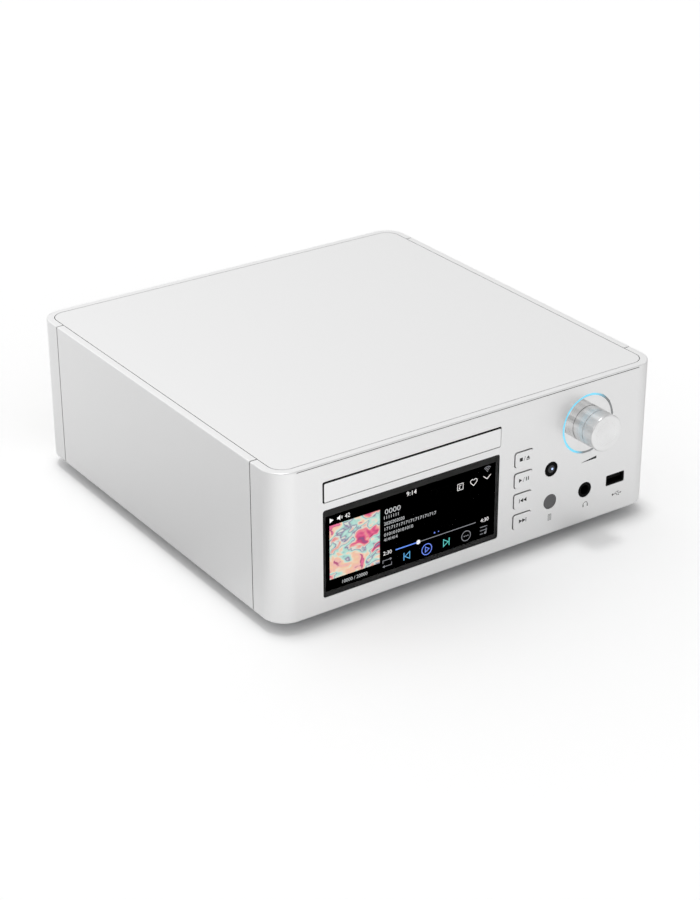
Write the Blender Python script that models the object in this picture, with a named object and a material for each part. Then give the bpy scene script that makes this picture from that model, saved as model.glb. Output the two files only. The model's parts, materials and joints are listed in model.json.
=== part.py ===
"""A desktop disc player in a machined aluminium case, with a sliding tray and its whole disc drive inside.

Lengths are metres. +X is the player's right as seen from the front, +Y its back, +Z up. The origin is on the
surface that the player stands on, at the middle of the box round the whole player, knob and sockets included.
Every piece is placed from the case's own origin, at the middle of its lower edge.
"""

import math

import bmesh
import bpy

# Clearances that all pieces share
SEAT_GAP = 0.0003
SEAM_GAP = 0.0004
RUNNING_GAP = 0.0005
CUT_OVERRUN = 0.002
WELD_LAP = 0.0006

# Counts of faces round a curve
ROUND_STEPS = 32
SMALL_STEPS = 20
TINY_STEPS = 12
CORNER_STEPS = 8
FILLET_STEPS = 3

# Angles past which an edge is shaded sharp, and past which it is chamfered
SHARP_DEGREES = 35
CHAMFER_DEGREES = 60

# Case
CASE_WIDTH = 0.290
CASE_DEPTH = 0.292
CASE_HEIGHT = 0.100
CASE_CORNER = 0.0153
CASE_EDGE = 0.0006
GROUND_CLEARANCE = 0.008
WALL = 0.008
RIM_WIDTH = 0.0051
TOP_THICKNESS = 0.004
BOTTOM_THICKNESS = 0.003
BOTTOM_RECESS = 0.0006
FRONT_THICKNESS = 0.010
FRONT_RETURN = 0.0262
REAR_THICKNESS = 0.008
REAR_RETURN = 0.0254
CONTROL_SKIN = 0.0040
POCKET_MARGIN = 0.0040

# Feet
FOOT_RADIUS = 0.017
FOOT_WAIST = 0.0135
FOOT_INSET = 0.036
PAD_RADIUS = 0.0125
PAD_POCKET = 0.0010
PAD_STAND = 0.0012
FOOT_NECK = 0.0015

# Tray opening in the front, and the window under it
SLOT_WIDTH = 0.1315
SLOT_HEIGHT = 0.0140
SLOT_LEFT_MARGIN = 0.0329
SLOT_TOP_MARGIN = 0.0123
SLOT_CORNER = 0.0012
WINDOW_WIDTH = 0.1307
WINDOW_HEIGHT = 0.0586
WINDOW_LEFT_MARGIN = 0.0330
WINDOW_BOTTOM_MARGIN = 0.0103
WINDOW_CORNER = 0.0016
GLASS_THICKNESS = 0.0020
SCREEN_MARGIN = 0.0022
SCREEN_FRAME_THICKNESS = 0.0025
SCREEN_FRAME_MARGIN = 0.0035

# Push buttons
BUTTON_COUNT = 4
BUTTON_WIDTH = 0.0140
BUTTON_HEIGHT = 0.0101
BUTTON_CORNER = 0.0016
BUTTON_PITCH = 0.0145
BUTTON_FROM_SLOT = 0.0113
BUTTON_TOP_MARGIN = 0.0392
BUTTON_PROUD = 0.0009
BUTTON_FLANGE = 0.0012
BUTTON_FLANGE_THICKNESS = 0.0010
BUTTON_STEM_RADIUS = 0.0015
BUTTON_TRAVEL = 0.0008

# Small round fittings and sockets of the front
LENS_RADIUS = 0.0048
LENS_FLANGE = 0.0012
LENS_FLANGE_THICKNESS = 0.0012
LENS_FROM_RIGHT = 0.0846
INDICATOR_HEIGHT = 0.0465
REMOTE_HEIGHT = 0.0235
JACK_NOSE_RADIUS = 0.0050
JACK_BORE_RADIUS = 0.0033
JACK_END_WALL = 0.0010
JACK_BODY_WIDTH = 0.0150
JACK_BODY_HEIGHT = 0.0130
JACK_BODY_LENGTH = 0.0240
USB_FROM_RIGHT = 0.0306
USB_HEIGHT = 0.0242
USB_OUTER_WIDTH = 0.0146
USB_OUTER_HEIGHT = 0.0068
USB_WALL = 0.0009
USB_LENGTH = 0.0200
USB_CORNER = 0.0008
USB_SET_BACK = 0.0004
USB_FLANGE = 0.0010

# Volume knob, its bright disc and light ring
KNOB_FROM_RIGHT = 0.0560
KNOB_TOP_MARGIN = 0.0294
KNOB_RADIUS = 0.0123
KNOB_REACH = 0.0179
KNOB_STANDOFF = 0.0015
KNOB_EDGE = 0.0010
KNOB_DISH_RADIUS = 0.0088
KNOB_DISH_DEPTH = 0.0007
KNOB_DISH_RADIUS_SHARE = 0.5
KNOB_DISH_DEPTH_SHARE = 0.75
KNOB_GROOVE_FROM_PANEL = 0.0092
KNOB_GROOVE_WIDTH = 0.0005
KNOB_GROOVE_DEPTH = 0.0005
KNOB_WALL = 0.0028
KNOB_SKIRT_DEPTH = 0.0050
KNOB_TRAVEL = 0.0008
RING_OUTER_RADIUS = 0.0201
RING_WIDTH = 0.0009
RING_DEPTH = 0.0030
DISC_PLATE_GAP = 0.0003
SHAFT_RADIUS = 0.0030
SHAFT_BORE_GAP = 0.00025
ENCODER_SIZE = 0.0140
ENCODER_LENGTH = 0.0050
ENCODER_NECK_RADIUS = 0.0045

# Boards behind the front
CONTROL_BOARD_THICKNESS = 0.0016
CONTROL_BOARD_STANDOFF = 0.0054
CONTROL_BOARD_LEFT = 0.0070
CONTROL_BOARD_RIGHT_MARGIN = 0.0150
CONTROL_BOARD_TOP_MARGIN = 0.0100
CONTROL_BOARD_BOTTOM_MARGIN = 0.0090
CONTROL_BOARD_NOTCH_WIDTH = 0.0600
CONTROL_BOARD_NOTCH_HEIGHT = 0.0380
SWITCH_SIZE = 0.0060
SWITCH_HEIGHT = 0.0035
BOSS_RADIUS = 0.0030

# Disc, which sets the tray, the turntable and the clamper
DISC_RADIUS = 0.0600
DISC_THICKNESS = 0.0012
DISC_HOLE_RADIUS = 0.0075
SMALL_DISC_RADIUS = 0.0400
DISC_INNER_TRACK = 0.0240

# Disc tray
TRAY_WIDTH = 0.1280
TRAY_THICKNESS = 0.0050
TRAY_FLOOR_ABOVE_SLOT = 0.0038
TRAY_WELL_DEPTH = 0.0030
TRAY_WELL_GAP = 0.0005
SMALL_WELL_DEPTH = 0.0008
TRAY_MARGIN_BEFORE_DISC = 0.0150
TRAY_TAIL = 0.0400
TRAY_CORNER = 0.0040
TRAY_FLANGE_THICKNESS = 0.0025
TRAY_FLANGE_ABOVE_RIM = 0.0030
FASCIA_THICKNESS = 0.0050
FASCIA_GAP = 0.0005
FASCIA_EDGE = 0.0002
TRAY_WINDOW_WIDTH = 0.0440
TRAY_WINDOW_FRONT = 0.0220
TRAY_WINDOW_BACK = 0.0700
WELL_STEPS = 48

# Gear teeth
TOOTH_MODULE = 0.0010
TOOTH_BACKLASH = 0.00030
TOOTH_CREST_SHARE = 0.22
TOOTH_TIP_GAP = 0.00035
TRAY_PINION_TEETH = 16
TRAY_GEAR_TEETH = 30
BELT_PINION_TEETH = 12
SLED_PINION_TEETH = 12
RACK_BACK = 0.0030
RACK_HEIGHT = 0.0033
RACK_FROM_EDGE = 0.0040

# Loader chassis, and the bracket that carries it
CHASSIS_WALL = 0.0030
CHASSIS_GAP = 0.0006
CHASSIS_FLOOR_DROP = 0.0230
CHASSIS_FLOOR_THICKNESS = 0.0025
CHASSIS_BACK_MARGIN = 0.0080
CHASSIS_WALL_ABOVE_TRAY = 0.0032
GUIDE_LIP = 0.0030
GUIDE_LIP_THICKNESS = 0.0020
CHASSIS_OPENING_LEFT = 0.0330
CHASSIS_OPENING_RIGHT = 0.0490
CHASSIS_OPENING_FRONT = 0.0270
CHASSIS_OPENING_BACK = 0.1080
BRACKET_THICKNESS = 0.0015
BRACKET_FLANGE = 0.0120
BRACKET_LEDGE = 0.0080
BRACKET_INSET = 0.0010
BRACKET_END = 0.0100
BRACKET_BEFORE_BOARD = 0.0161

# Loading motor, belt and gears, set out from the disc's middle
GEAR_ROW_AHEAD = 0.0475
GEAR_THICKNESS = 0.0040
GEAR_LIFT = 0.0040
GEAR_POST_RADIUS = 0.0018
GEAR_BORE_GAP = 0.0002
GEAR_HUB_RADIUS = 0.0032
PULLEY_RADIUS = 0.0115
PULLEY_THICKNESS = 0.0036
PULLEY_GROOVE = 0.0012
MOTOR_PULLEY_RADIUS = 0.0040
BELT_RADIUS = 0.0007
BELT_SPAN = 0.0400
MOTOR_RADIUS = 0.0105
MOTOR_LENGTH = 0.0180
MOTOR_SHAFT_RADIUS = 0.0010
MOTOR_NECK_RADIUS = 0.0030
BELT_STEPS = 14

# Cam slider that lifts the traverse
CAM_THICKNESS = 0.0020
CAM_LENGTH = 0.0700
CAM_HEIGHT = 0.0175
CAM_LEFT_REACH = 0.0340
CAM_TRAVEL = 0.0240
CAM_PIN_SPREAD = 0.0180
CAM_PIN_OFFSET = 0.0140
CAM_PIN_RADIUS = 0.0015
CAM_PIN_GAP = 0.0005
CAM_GAP = 0.0008
CAM_RIB = 0.0012
CAM_RIB_GAP = 0.0003
CAM_RIB_HEIGHT = 0.0020

# Traverse, hinged at its back, with the turntable and the laser pickup
TRAVERSE_LIFT = 0.0080
TRAVERSE_HALF_WIDTH = 0.0380
TRAVERSE_RIGHT = 0.0500
TRAVERSE_THICKNESS = 0.0030
TRAVERSE_AHEAD = 0.0290
TRAVERSE_BEHIND = 0.0960
TRAVERSE_BELOW_DISC = 0.0085
TRAVERSE_OPENING_HALF_WIDTH = 0.0290
TRAVERSE_OPENING_START = 0.0165
TRAVERSE_OPENING_END = 0.0820
HINGE_PIN_RADIUS = 0.0020
HINGE_PIN_LENGTH = 0.0060
HINGE_POST_WIDTH = 0.0060
HINGE_GAP = 0.00025
ROD_RADIUS = 0.0015
ROD_SPREAD = 0.0240
ROD_SEAT_DEPTH = 0.0045
ROD_SEAT_DROP = 0.0025
ROD_SEAT_END = 0.0010
ROD_GAP = 0.00025
ROD_Z = -0.0010
SPINDLE_MOTOR_RADIUS = 0.0145
SPINDLE_MOTOR_HEIGHT = 0.0036
TURNTABLE_RADIUS = 0.0150
TURNTABLE_THICKNESS = 0.0022
TURNTABLE_HUB_HEIGHT = 0.0026
TURNTABLE_HUB_GAP = 0.0002
TURNTABLE_CROWN = 0.0008
SLED_LENGTH = 0.0280
SLED_HALF_WIDTH = 0.0275
SLED_BELOW = 0.0060
SLED_LENS_FROM_FRONT = 0.0068
SLED_TURRET_RADIUS = 0.0065
SLED_TURRET_BELOW_DISC = 0.0020
SLED_TRAVEL = 0.0350
SLED_RACK_SPARE = 0.0090
SLED_RACK_OUT = 0.0005
SLED_PINION_FROM_BACK = 0.0037
SLED_ARM_WIDTH = 0.0080
SLED_RACK_THICKNESS = 0.0018
SLED_MOTOR_RADIUS = 0.0070
SLED_MOTOR_LENGTH = 0.0140
DISC_LIFT_ABOVE_FLOOR = 0.0020

# Clamper and its bridge
CLAMPER_RADIUS = 0.0120
CLAMPER_FLANGE_RADIUS = 0.0160
CLAMPER_FLANGE_THICKNESS = 0.0018
CLAMPER_RECESS_DEPTH = 0.0022
BRIDGE_DEPTH = 0.0400
BRIDGE_THICKNESS = 0.0015
BRIDGE_LIFT = 0.0003

# Electronics
BOARD_THICKNESS = 0.0016
BOARD_STANDOFF = 0.0090
STANDOFF_RADIUS = 0.0035
BOARD_MARGIN = 0.0120
MAIN_BOARD_DEPTH = 0.0840
MAIN_BOARD_WIDTH = 0.1680
POWER_BOARD_WIDTH = 0.0900
POWER_BOARD_DEPTH = 0.0840
POWER_BOARD_FROM_FRONT = 0.0500
SHIELD_HEIGHT = 0.0120
CAPACITOR_RADIUS = 0.0080
CAPACITOR_HEIGHT = 0.0250
HEATSINK_HEIGHT = 0.0300
HEATSINK_FIN = 0.0030
HEATSINK_FIN_SHARES = (0.2, 0.35, 0.5, 0.65, 0.8)
POWER_CAPACITOR_SHARES = (0.2, 0.5, 0.8)
CAPACITOR_ROW_SHARES = (0.62, 0.76, 0.9)
CAPACITOR_ROW_DEPTH_SHARE = 0.25
POWER_CAPACITOR_DEPTH_SHARE = 0.75
SHIELD_WIDTH_SHARE = 0.3333
TRANSFORMER_RADIUS = 0.0380
TRANSFORMER_HEIGHT = 0.0380
TRANSFORMER_HOLE_RADIUS = 0.0110
TRANSFORMER_ROUNDING = 0.0060
TRANSFORMER_FROM_INLET = 0.0050

# Rear panel and its sockets
REAR_PANEL_THICKNESS = 0.0025
REAR_OPENING_MARGIN = 0.0170
REAR_OPENING_EDGE = 0.0100
REAR_PANEL_LAP = 0.0050
PHONO_PITCH = 0.0200
PHONO_ROW_HEIGHT = 0.0400
PHONO_FROM_LEFT = 0.0420
PHONO_COUNT = 3
PHONO_BARREL_RADIUS = 0.0042
PHONO_BORE_RADIUS = 0.0018
PHONO_NUT_RADIUS = 0.0062
PHONO_NUT_THICKNESS = 0.0022
PHONO_REACH = 0.0120
PHONO_BODY_DEPTH = 0.0120
PHONO_BODY_HEIGHT = 0.0140
OPTICAL_FROM_LEFT = 0.1100
OPTICAL_SIZE = 0.0130
OPTICAL_BORE = 0.0060
OPTICAL_DEPTH = 0.0140
DATA_FROM_LEFT = 0.1340
DATA_WIDTH = 0.0120
DATA_HEIGHT = 0.0110
DATA_WALL = 0.0012
DATA_DEPTH = 0.0160
SOCKET_PROUD = 0.0020
INLET_FROM_RIGHT = 0.0560
INLET_WIDTH = 0.0270
INLET_HEIGHT = 0.0190
INLET_WALL = 0.0020
INLET_DEPTH = 0.0240
INLET_FLANGE = 0.0050
INLET_FLANGE_THICKNESS = 0.0020
INLET_PIN_WIDTH = 0.0020
INLET_PIN_HEIGHT = 0.0040
INLET_PIN_SPREAD = 0.0070
INLET_PIN_SET_BACK = 0.0020
ROCKER_GAP = 0.0095
ROCKER_WIDTH = 0.0130
ROCKER_DEPTH = 0.0060
ROCKER_CROWN = 0.0016
ROCKER_DIP = 0.0004
ROCKER_SUNK = 0.0010
ROCKER_END_GAP = 0.0005
ROCKER_TILT_DEGREES = 9.0
ROCKER_FRAME = 0.0016
ROCKER_BOX_DEPTH = 0.0150

# Places that follow from the sizes, measured from the case's own origin
FRONT = -CASE_DEPTH / 2
BACK = CASE_DEPTH / 2
LEFT = -CASE_WIDTH / 2
RIGHT = CASE_WIDTH / 2
PANEL_BACK = FRONT + FRONT_THICKNESS
TOP_UNDER = CASE_HEIGHT - TOP_THICKNESS
BOTTOM_TOP = BOTTOM_RECESS + BOTTOM_THICKNESS
SLOT_X = LEFT + SLOT_LEFT_MARGIN + SLOT_WIDTH / 2
SLOT_RIGHT = SLOT_X + SLOT_WIDTH / 2
SLOT_Z = CASE_HEIGHT - SLOT_TOP_MARGIN - SLOT_HEIGHT / 2
SLOT_BOTTOM = SLOT_Z - SLOT_HEIGHT / 2
WINDOW_X = LEFT + WINDOW_LEFT_MARGIN + WINDOW_WIDTH / 2
WINDOW_Z = WINDOW_BOTTOM_MARGIN + WINDOW_HEIGHT / 2
BUTTON_X = SLOT_RIGHT + BUTTON_FROM_SLOT + BUTTON_WIDTH / 2
BUTTON_TOP_Z = CASE_HEIGHT - BUTTON_TOP_MARGIN
LENS_X = RIGHT - LENS_FROM_RIGHT
USB_X = RIGHT - USB_FROM_RIGHT
KNOB_X = RIGHT - KNOB_FROM_RIGHT
KNOB_Z = CASE_HEIGHT - KNOB_TOP_MARGIN
BOARD_FRONT = PANEL_BACK + CONTROL_BOARD_STANDOFF
BOARD_BACK = BOARD_FRONT + CONTROL_BOARD_THICKNESS
RING_BACK = FRONT + RING_DEPTH + SEAT_GAP
ENCODER_FACE = BOARD_FRONT - SEAT_GAP - ENCODER_LENGTH
BOARD_TOP = BOTTOM_TOP + BOARD_STANDOFF + BOARD_THICKNESS
REAR_FACE = BACK - REAR_THICKNESS - SEAT_GAP
REAR_REACH = REAR_FACE + PHONO_REACH - BACK
INLET_START = REAR_FACE - REAR_PANEL_THICKNESS - INLET_DEPTH
CASE_SHIFT = (KNOB_REACH - REAR_REACH) / 2

# The drive, set out from the disc's middle
FASCIA_BACK = FRONT + FASCIA_THICKNESS
TRAY_START = FASCIA_BACK + SEAT_GAP
DISC_X = SLOT_X
DISC_Y = TRAY_START + TRAY_FLANGE_THICKNESS + TRAY_MARGIN_BEFORE_DISC + DISC_RADIUS
TRAY_END = DISC_Y + DISC_RADIUS + TRAY_TAIL
TRAY_UNDER = SLOT_BOTTOM + TRAY_FLOOR_ABOVE_SLOT
TRAY_RIM = TRAY_UNDER + TRAY_THICKNESS
TRAY_FLOOR = TRAY_RIM - TRAY_WELL_DEPTH
DISC_LIFTED = TRAY_FLOOR + DISC_LIFT_ABOVE_FLOOR
CHASSIS_FLOOR_TOP = TRAY_UNDER - CHASSIS_FLOOR_DROP + CHASSIS_FLOOR_THICKNESS
CHASSIS_FLOOR_UNDER = CHASSIS_FLOOR_TOP - CHASSIS_FLOOR_THICKNESS
CHASSIS_HALF = TRAY_WIDTH / 2 + CHASSIS_GAP + CHASSIS_WALL
SCREEN_BACK = PANEL_BACK + SEAT_GAP + SCREEN_FRAME_THICKNESS
CHASSIS_FRONT = SCREEN_BACK + SEAT_GAP
CHASSIS_BACK = TRAY_END + CHASSIS_BACK_MARGIN
CHASSIS_TOP = TRAY_RIM + CHASSIS_WALL_ABOVE_TRAY
GEAR_ROW_Y = DISC_Y - GEAR_ROW_AHEAD
RACK_PITCH_X = DISC_X - TRAY_WIDTH / 2 + RACK_FROM_EDGE + RACK_BACK + TOOTH_MODULE
TRAY_GEAR_X = RACK_PITCH_X + TOOTH_MODULE * TRAY_PINION_TEETH / 2
BELT_GEAR_X = TRAY_GEAR_X + TOOTH_MODULE * (TRAY_GEAR_TEETH + BELT_PINION_TEETH) / 2
LOADING_MOTOR_X = BELT_GEAR_X + BELT_SPAN
GEAR_BASE = CHASSIS_FLOOR_TOP + GEAR_LIFT
PULLEY_BASE = GEAR_BASE + GEAR_THICKNESS + RUNNING_GAP
RACK_UNDER = TRAY_UNDER - RACK_HEIGHT
HINGE_Y = DISC_Y + TRAVERSE_BEHIND
TRAVERSE_TOP = DISC_LIFTED - TRAVERSE_BELOW_DISC
HINGE_Z = TRAVERSE_TOP - TRAVERSE_THICKNESS / 2
LOWERED_ANGLE = math.asin(TRAVERSE_LIFT / TRAVERSE_BEHIND)
TRAVERSE_FRONT = -TRAVERSE_BEHIND - TRAVERSE_AHEAD
CAM_Y = DISC_Y - TRAVERSE_AHEAD - CAM_GAP - CAM_THICKNESS / 2
CAM_ARM = HINGE_Y - CAM_Y
CAM_PIN_DROP = CAM_ARM * math.sin(LOWERED_ANGLE)

# Colour as sRGB hex, roughness and metallic value of each finish
FINISHES = {
    "silver": ("DCDCDC", 0.35, 1.0),
    "polished": ("E8E8E8", 0.06, 1.0),
    "steel": ("B4B6B8", 0.40, 1.0),
    "black": ("111214", 0.45, 0.0),
    "glass": ("050506", 0.05, 0.0),
    "grey plastic": ("6E7073", 0.50, 0.0),
    "white plastic": ("D8D8D2", 0.50, 0.0),
    "rubber": ("1B1B1C", 0.85, 0.0),
    "board": ("1E5B3A", 0.55, 0.0),
    "light": ("38D3F5", 0.40, 0.0),
    "copper": ("9C5A2C", 0.45, 0.6),
    "brass": ("C9A24A", 0.30, 1.0),
}


def linear(channel):
    """One sRGB channel, from 0 to 1, as linear light."""
    return channel / 12.92 if channel <= 0.04045 else ((channel + 0.055) / 1.055) ** 2.4


def material(name, finish):
    """The piece's own material, in one of the named finishes."""
    code, roughness, metallic = FINISHES[finish]
    made = bpy.data.materials.new(name)
    made.use_nodes = True
    shader = made.node_tree.nodes["Principled BSDF"]
    channels = [linear(int(code[i : i + 2], 16) / 255) for i in (0, 2, 4)]
    shader.inputs["Base Color"].default_value = (*channels, 1.0)
    shader.inputs["Roughness"].default_value = roughness
    shader.inputs["Metallic"].default_value = metallic
    made.diffuse_color = (*channels, 1.0)
    return made


def clear_scene():
    """Removes every object that is there before the player is built."""
    for obj in list(bpy.data.objects):
        bpy.data.objects.remove(obj, do_unlink=True)


def empty(name, place, parent=None):
    """An empty that pieces are parented to."""
    obj = bpy.data.objects.new(name, None)
    obj.location = place
    obj.parent = parent
    bpy.context.scene.collection.objects.link(obj)
    return obj


def finished(name, shape, finish, place, parent):
    """Makes an object of a closed shape, smooth where it is round, and hangs it on its parent."""
    bmesh.ops.recalc_face_normals(shape, faces=shape.faces)
    mesh = bpy.data.meshes.new(name)
    shape.to_mesh(mesh)
    shape.free()
    mesh.shade_smooth()
    mesh.set_sharp_from_angle(angle=math.radians(SHARP_DEGREES))
    obj = bpy.data.objects.new(name, mesh)
    obj.data.materials.append(material(name, finish))
    obj.location = place
    obj.parent = parent
    bpy.context.scene.collection.objects.link(obj)
    return obj


def bevel(obj, width):
    """A small chamfer on every square edge of a piece."""
    edge = obj.modifiers.new("edge", "BEVEL")
    edge.width = width
    edge.segments = 1
    edge.limit_method = "ANGLE"
    edge.angle_limit = math.radians(CHAMFER_DEGREES)


def combine(obj, shape, operation):
    """Joins a shape to a piece or cuts it away, in the piece's own coordinates."""
    label = f"{obj.name} {operation.lower()} {len(obj.modifiers)}"
    tool = finished(label, shape, "steel", obj.location, obj.parent)
    tool.rotation_euler = obj.rotation_euler
    tool.hide_render = True
    tool.display_type = "WIRE"
    step = obj.modifiers.new(label, "BOOLEAN")
    step.operation = operation
    step.solver = "EXACT"
    step.object = tool


def cut(obj, shape):
    """Cuts a shape away from a piece."""
    combine(obj, shape, "DIFFERENCE")


def join(obj, shape):
    """Joins a shape to a piece."""
    combine(obj, shape, "UNION")


def on_axis(axis, u, v, along):
    """The point at (u, v) across an axis and at a distance along it."""
    return {"X": (along, u, v), "Y": (u, along, v), "Z": (u, v, along)}[axis]


def prism(shape, outline, axis, low, high):
    """Adds a closed outline, extruded along an axis from low to high."""
    rings = [[shape.verts.new(on_axis(axis, u, v, along)) for u, v in outline] for along in (low, high)]
    shape.faces.new(rings[0])
    shape.faces.new(rings[1])
    for i in range(len(outline)):
        j = (i + 1) % len(outline)
        shape.faces.new((rings[0][i], rings[0][j], rings[1][j], rings[1][i]))
    return shape


def block(shape, x, y, z):
    """Adds a box between pairs of limits along X, Y and Z."""
    corners = [(x[0], y[0]), (x[1], y[0]), (x[1], y[1]), (x[0], y[1])]
    return prism(shape, corners, "Z", z[0], z[1])


def about(middle, size):
    """The pair of limits of a size about its middle."""
    return (middle - size / 2, middle + size / 2)


def rounded(u, v, width, height, corner, steps=FILLET_STEPS):
    """The outline of a rectangle with round corners, about (u, v)."""
    points = []
    for turn, (su, sv) in enumerate(((1, 1), (-1, 1), (-1, -1), (1, -1))):
        centre = (u + su * (width / 2 - corner), v + sv * (height / 2 - corner))
        for i in range(steps + 1):
            angle = math.pi / 2 * (turn + i / steps)
            points.append((centre[0] + corner * math.cos(angle), centre[1] + corner * math.sin(angle)))
    return points


def circle(u, v, radius, steps=ROUND_STEPS):
    """The outline of a circle about (u, v)."""
    turns = [2 * math.pi * i / steps for i in range(steps)]
    return [(u + radius * math.cos(a), v + radius * math.sin(a)) for a in turns]


def turned(shape, profile, axis, u, v, steps=ROUND_STEPS):
    """Adds a profile of (radius, along) turned about an axis through (u, v).

    Ends on the axis close it, and otherwise it is a ring.
    """
    rings = []
    for radius, along in profile:
        if radius == 0:
            rings.append([shape.verts.new(on_axis(axis, u, v, along))])
        else:
            rings.append([shape.verts.new(on_axis(axis, a, b, along)) for a, b in circle(u, v, radius, steps)])
    pairs = list(zip(rings, rings[1:]))
    if profile[0][0] > 0:
        pairs.append((rings[-1], rings[0]))
    for first, second in pairs:
        for i in range(steps):
            j = (i + 1) % steps
            corners = [first[i % len(first)], first[j % len(first)]]
            corners += [second[j % len(second)], second[i % len(second)]]
            shape.faces.new(list(dict.fromkeys(corners)))
    return shape


def rod(shape, radius, axis, u, v, low, high, steps=SMALL_STEPS):
    """Adds a plain round bar."""
    return prism(shape, circle(u, v, radius, steps), axis, low, high)


def tooth_half_widths():
    """Half widths of a tooth at its pitch line and at its crest, less the backlash."""
    pitch = math.pi * TOOTH_MODULE
    return (pitch / 2 - TOOTH_BACKLASH) / 2, pitch * TOOTH_CREST_SHARE / 2


def gear_outline(teeth, phase):
    """A gear's outline about the origin, with the middle of a tooth at the phase angle."""
    middle_half, crest_half = tooth_half_widths()
    pitch_radius = TOOTH_MODULE * teeth / 2
    crest = pitch_radius + TOOTH_MODULE - TOOTH_TIP_GAP
    root = pitch_radius - TOOTH_MODULE - TOOTH_TIP_GAP
    middle_angle = middle_half / pitch_radius
    steps = ((root, -middle_angle), (pitch_radius, -middle_angle), (crest, -crest_half / crest))
    steps += tuple((radius, -angle) for radius, angle in reversed(steps))
    points = []
    for i in range(teeth):
        turn = phase + 2 * math.pi * i / teeth
        for radius, angle in steps:
            points.append((radius * math.cos(turn + angle), radius * math.sin(turn + angle)))
    return points


def rack_outline(pitch_line, back, start, end, tooth_at, side):
    """A rack along its second axis, its teeth to the side given and one of them centred at tooth_at."""
    middle_half, crest_half = tooth_half_widths()
    pitch = math.pi * TOOTH_MODULE
    crest = pitch_line + side * (TOOTH_MODULE - TOOTH_TIP_GAP)
    root = pitch_line - side * (TOOTH_MODULE + TOOTH_TIP_GAP)
    first = math.ceil((start + middle_half - tooth_at) / pitch)
    last = math.floor((end - middle_half - tooth_at) / pitch)
    points = [(back, start), (root, start)]
    for i in range(first, last + 1):
        middle = tooth_at + i * pitch
        for way in (-1, 1):
            flank = [(root, middle + way * middle_half), (pitch_line, middle + way * middle_half)]
            flank.append((crest, middle + way * crest_half))
            points += flank[::-way]
    return points + [(root, end), (back, end)]


def shell_outline(face, inward, thickness, reach):
    """The plan outline of the front or back of the case with its returns. Inward is +1 or -1 along Y."""
    points = [(LEFT, face + inward * reach)]
    for side, turn in ((-1, math.pi), (1, 3 * math.pi / 2)):
        centre_x = side * (CASE_WIDTH / 2 - CASE_CORNER)
        for i in range(CORNER_STEPS + 1):
            angle = turn + math.pi / 2 * i / CORNER_STEPS
            y = face + inward * (CASE_CORNER + CASE_CORNER * math.sin(angle))
            points.append((centre_x + CASE_CORNER * math.cos(angle), y))
    points.append((RIGHT, face + inward * reach))
    points.append((RIGHT - WALL, face + inward * reach))
    points.append((RIGHT - WALL, face + inward * thickness))
    points.append((LEFT + WALL, face + inward * thickness))
    points.append((LEFT + WALL, face + inward * reach))
    return points


def plate_outline(gap):
    """The plan outline of the top and bottom plates, or with a negative gap of the recess that takes them."""
    width = CASE_WIDTH - 2 * RIM_WIDTH - 2 * gap
    depth = CASE_DEPTH - 2 * RIM_WIDTH - 2 * gap
    return rounded(0, 0, width, depth, CASE_CORNER - RIM_WIDTH - gap, CORNER_STEPS)


def cut_plate_recesses(obj):
    """Cuts the steps that the top and bottom plates lie in."""
    shape = prism(bmesh.new(), plate_outline(0), "Z", TOP_UNDER - SEAT_GAP, CASE_HEIGHT + CUT_OVERRUN)
    prism(shape, plate_outline(0), "Z", -CUT_OVERRUN, BOTTOM_TOP + SEAT_GAP)
    cut(obj, shape)


def button_heights():
    """The middle height of each button, from the top down."""
    return [BUTTON_TOP_Z - i * BUTTON_PITCH for i in range(BUTTON_COUNT)]


def board_bosses():
    """Where the control board is screwed to the front, as (x, z)."""
    left = SLOT_RIGHT + CONTROL_BOARD_LEFT + BOSS_RADIUS + SEAT_GAP
    right = RIGHT - CONTROL_BOARD_RIGHT_MARGIN - BOSS_RADIUS - SEAT_GAP
    top = CASE_HEIGHT - CONTROL_BOARD_TOP_MARGIN - BOSS_RADIUS - SEAT_GAP
    low = CONTROL_BOARD_BOTTOM_MARGIN + BOSS_RADIUS + SEAT_GAP
    notch = CONTROL_BOARD_BOTTOM_MARGIN + CONTROL_BOARD_NOTCH_HEIGHT + BOSS_RADIUS + SEAT_GAP
    beside = BUTTON_X + BUTTON_WIDTH / 2 + 2 * BUTTON_FLANGE + BOSS_RADIUS
    return [(left, top), (right, top), (beside, low), (right, notch)]


def front_openings():
    """Everything that is cut through the front from its face."""
    low, high = FRONT - CUT_OVERRUN, PANEL_BACK + CUT_OVERRUN
    shape = prism(bmesh.new(), rounded(SLOT_X, SLOT_Z, SLOT_WIDTH, SLOT_HEIGHT, SLOT_CORNER), "Y", low, high)
    prism(shape, rounded(WINDOW_X, WINDOW_Z, WINDOW_WIDTH, WINDOW_HEIGHT, WINDOW_CORNER), "Y", low, high)
    for z in button_heights():
        size = (BUTTON_WIDTH + 2 * SEAT_GAP, BUTTON_HEIGHT + 2 * SEAT_GAP)
        prism(shape, rounded(BUTTON_X, z, *size, BUTTON_CORNER + SEAT_GAP), "Y", low, high)
    for z in (INDICATOR_HEIGHT, REMOTE_HEIGHT):
        rod(shape, LENS_RADIUS + SEAT_GAP, "Y", LENS_X, z, low, high)
    rod(shape, JACK_NOSE_RADIUS + SEAT_GAP, "Y", KNOB_X, REMOTE_HEIGHT, low, high)
    size = (USB_OUTER_WIDTH + 2 * SEAT_GAP, USB_OUTER_HEIGHT + 2 * SEAT_GAP)
    prism(shape, rounded(USB_X, USB_HEIGHT, *size, USB_CORNER), "Y", low, high)
    rod(shape, ENCODER_NECK_RADIUS + SEAT_GAP, "Y", KNOB_X, KNOB_Z, low, high)
    return shape


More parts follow.
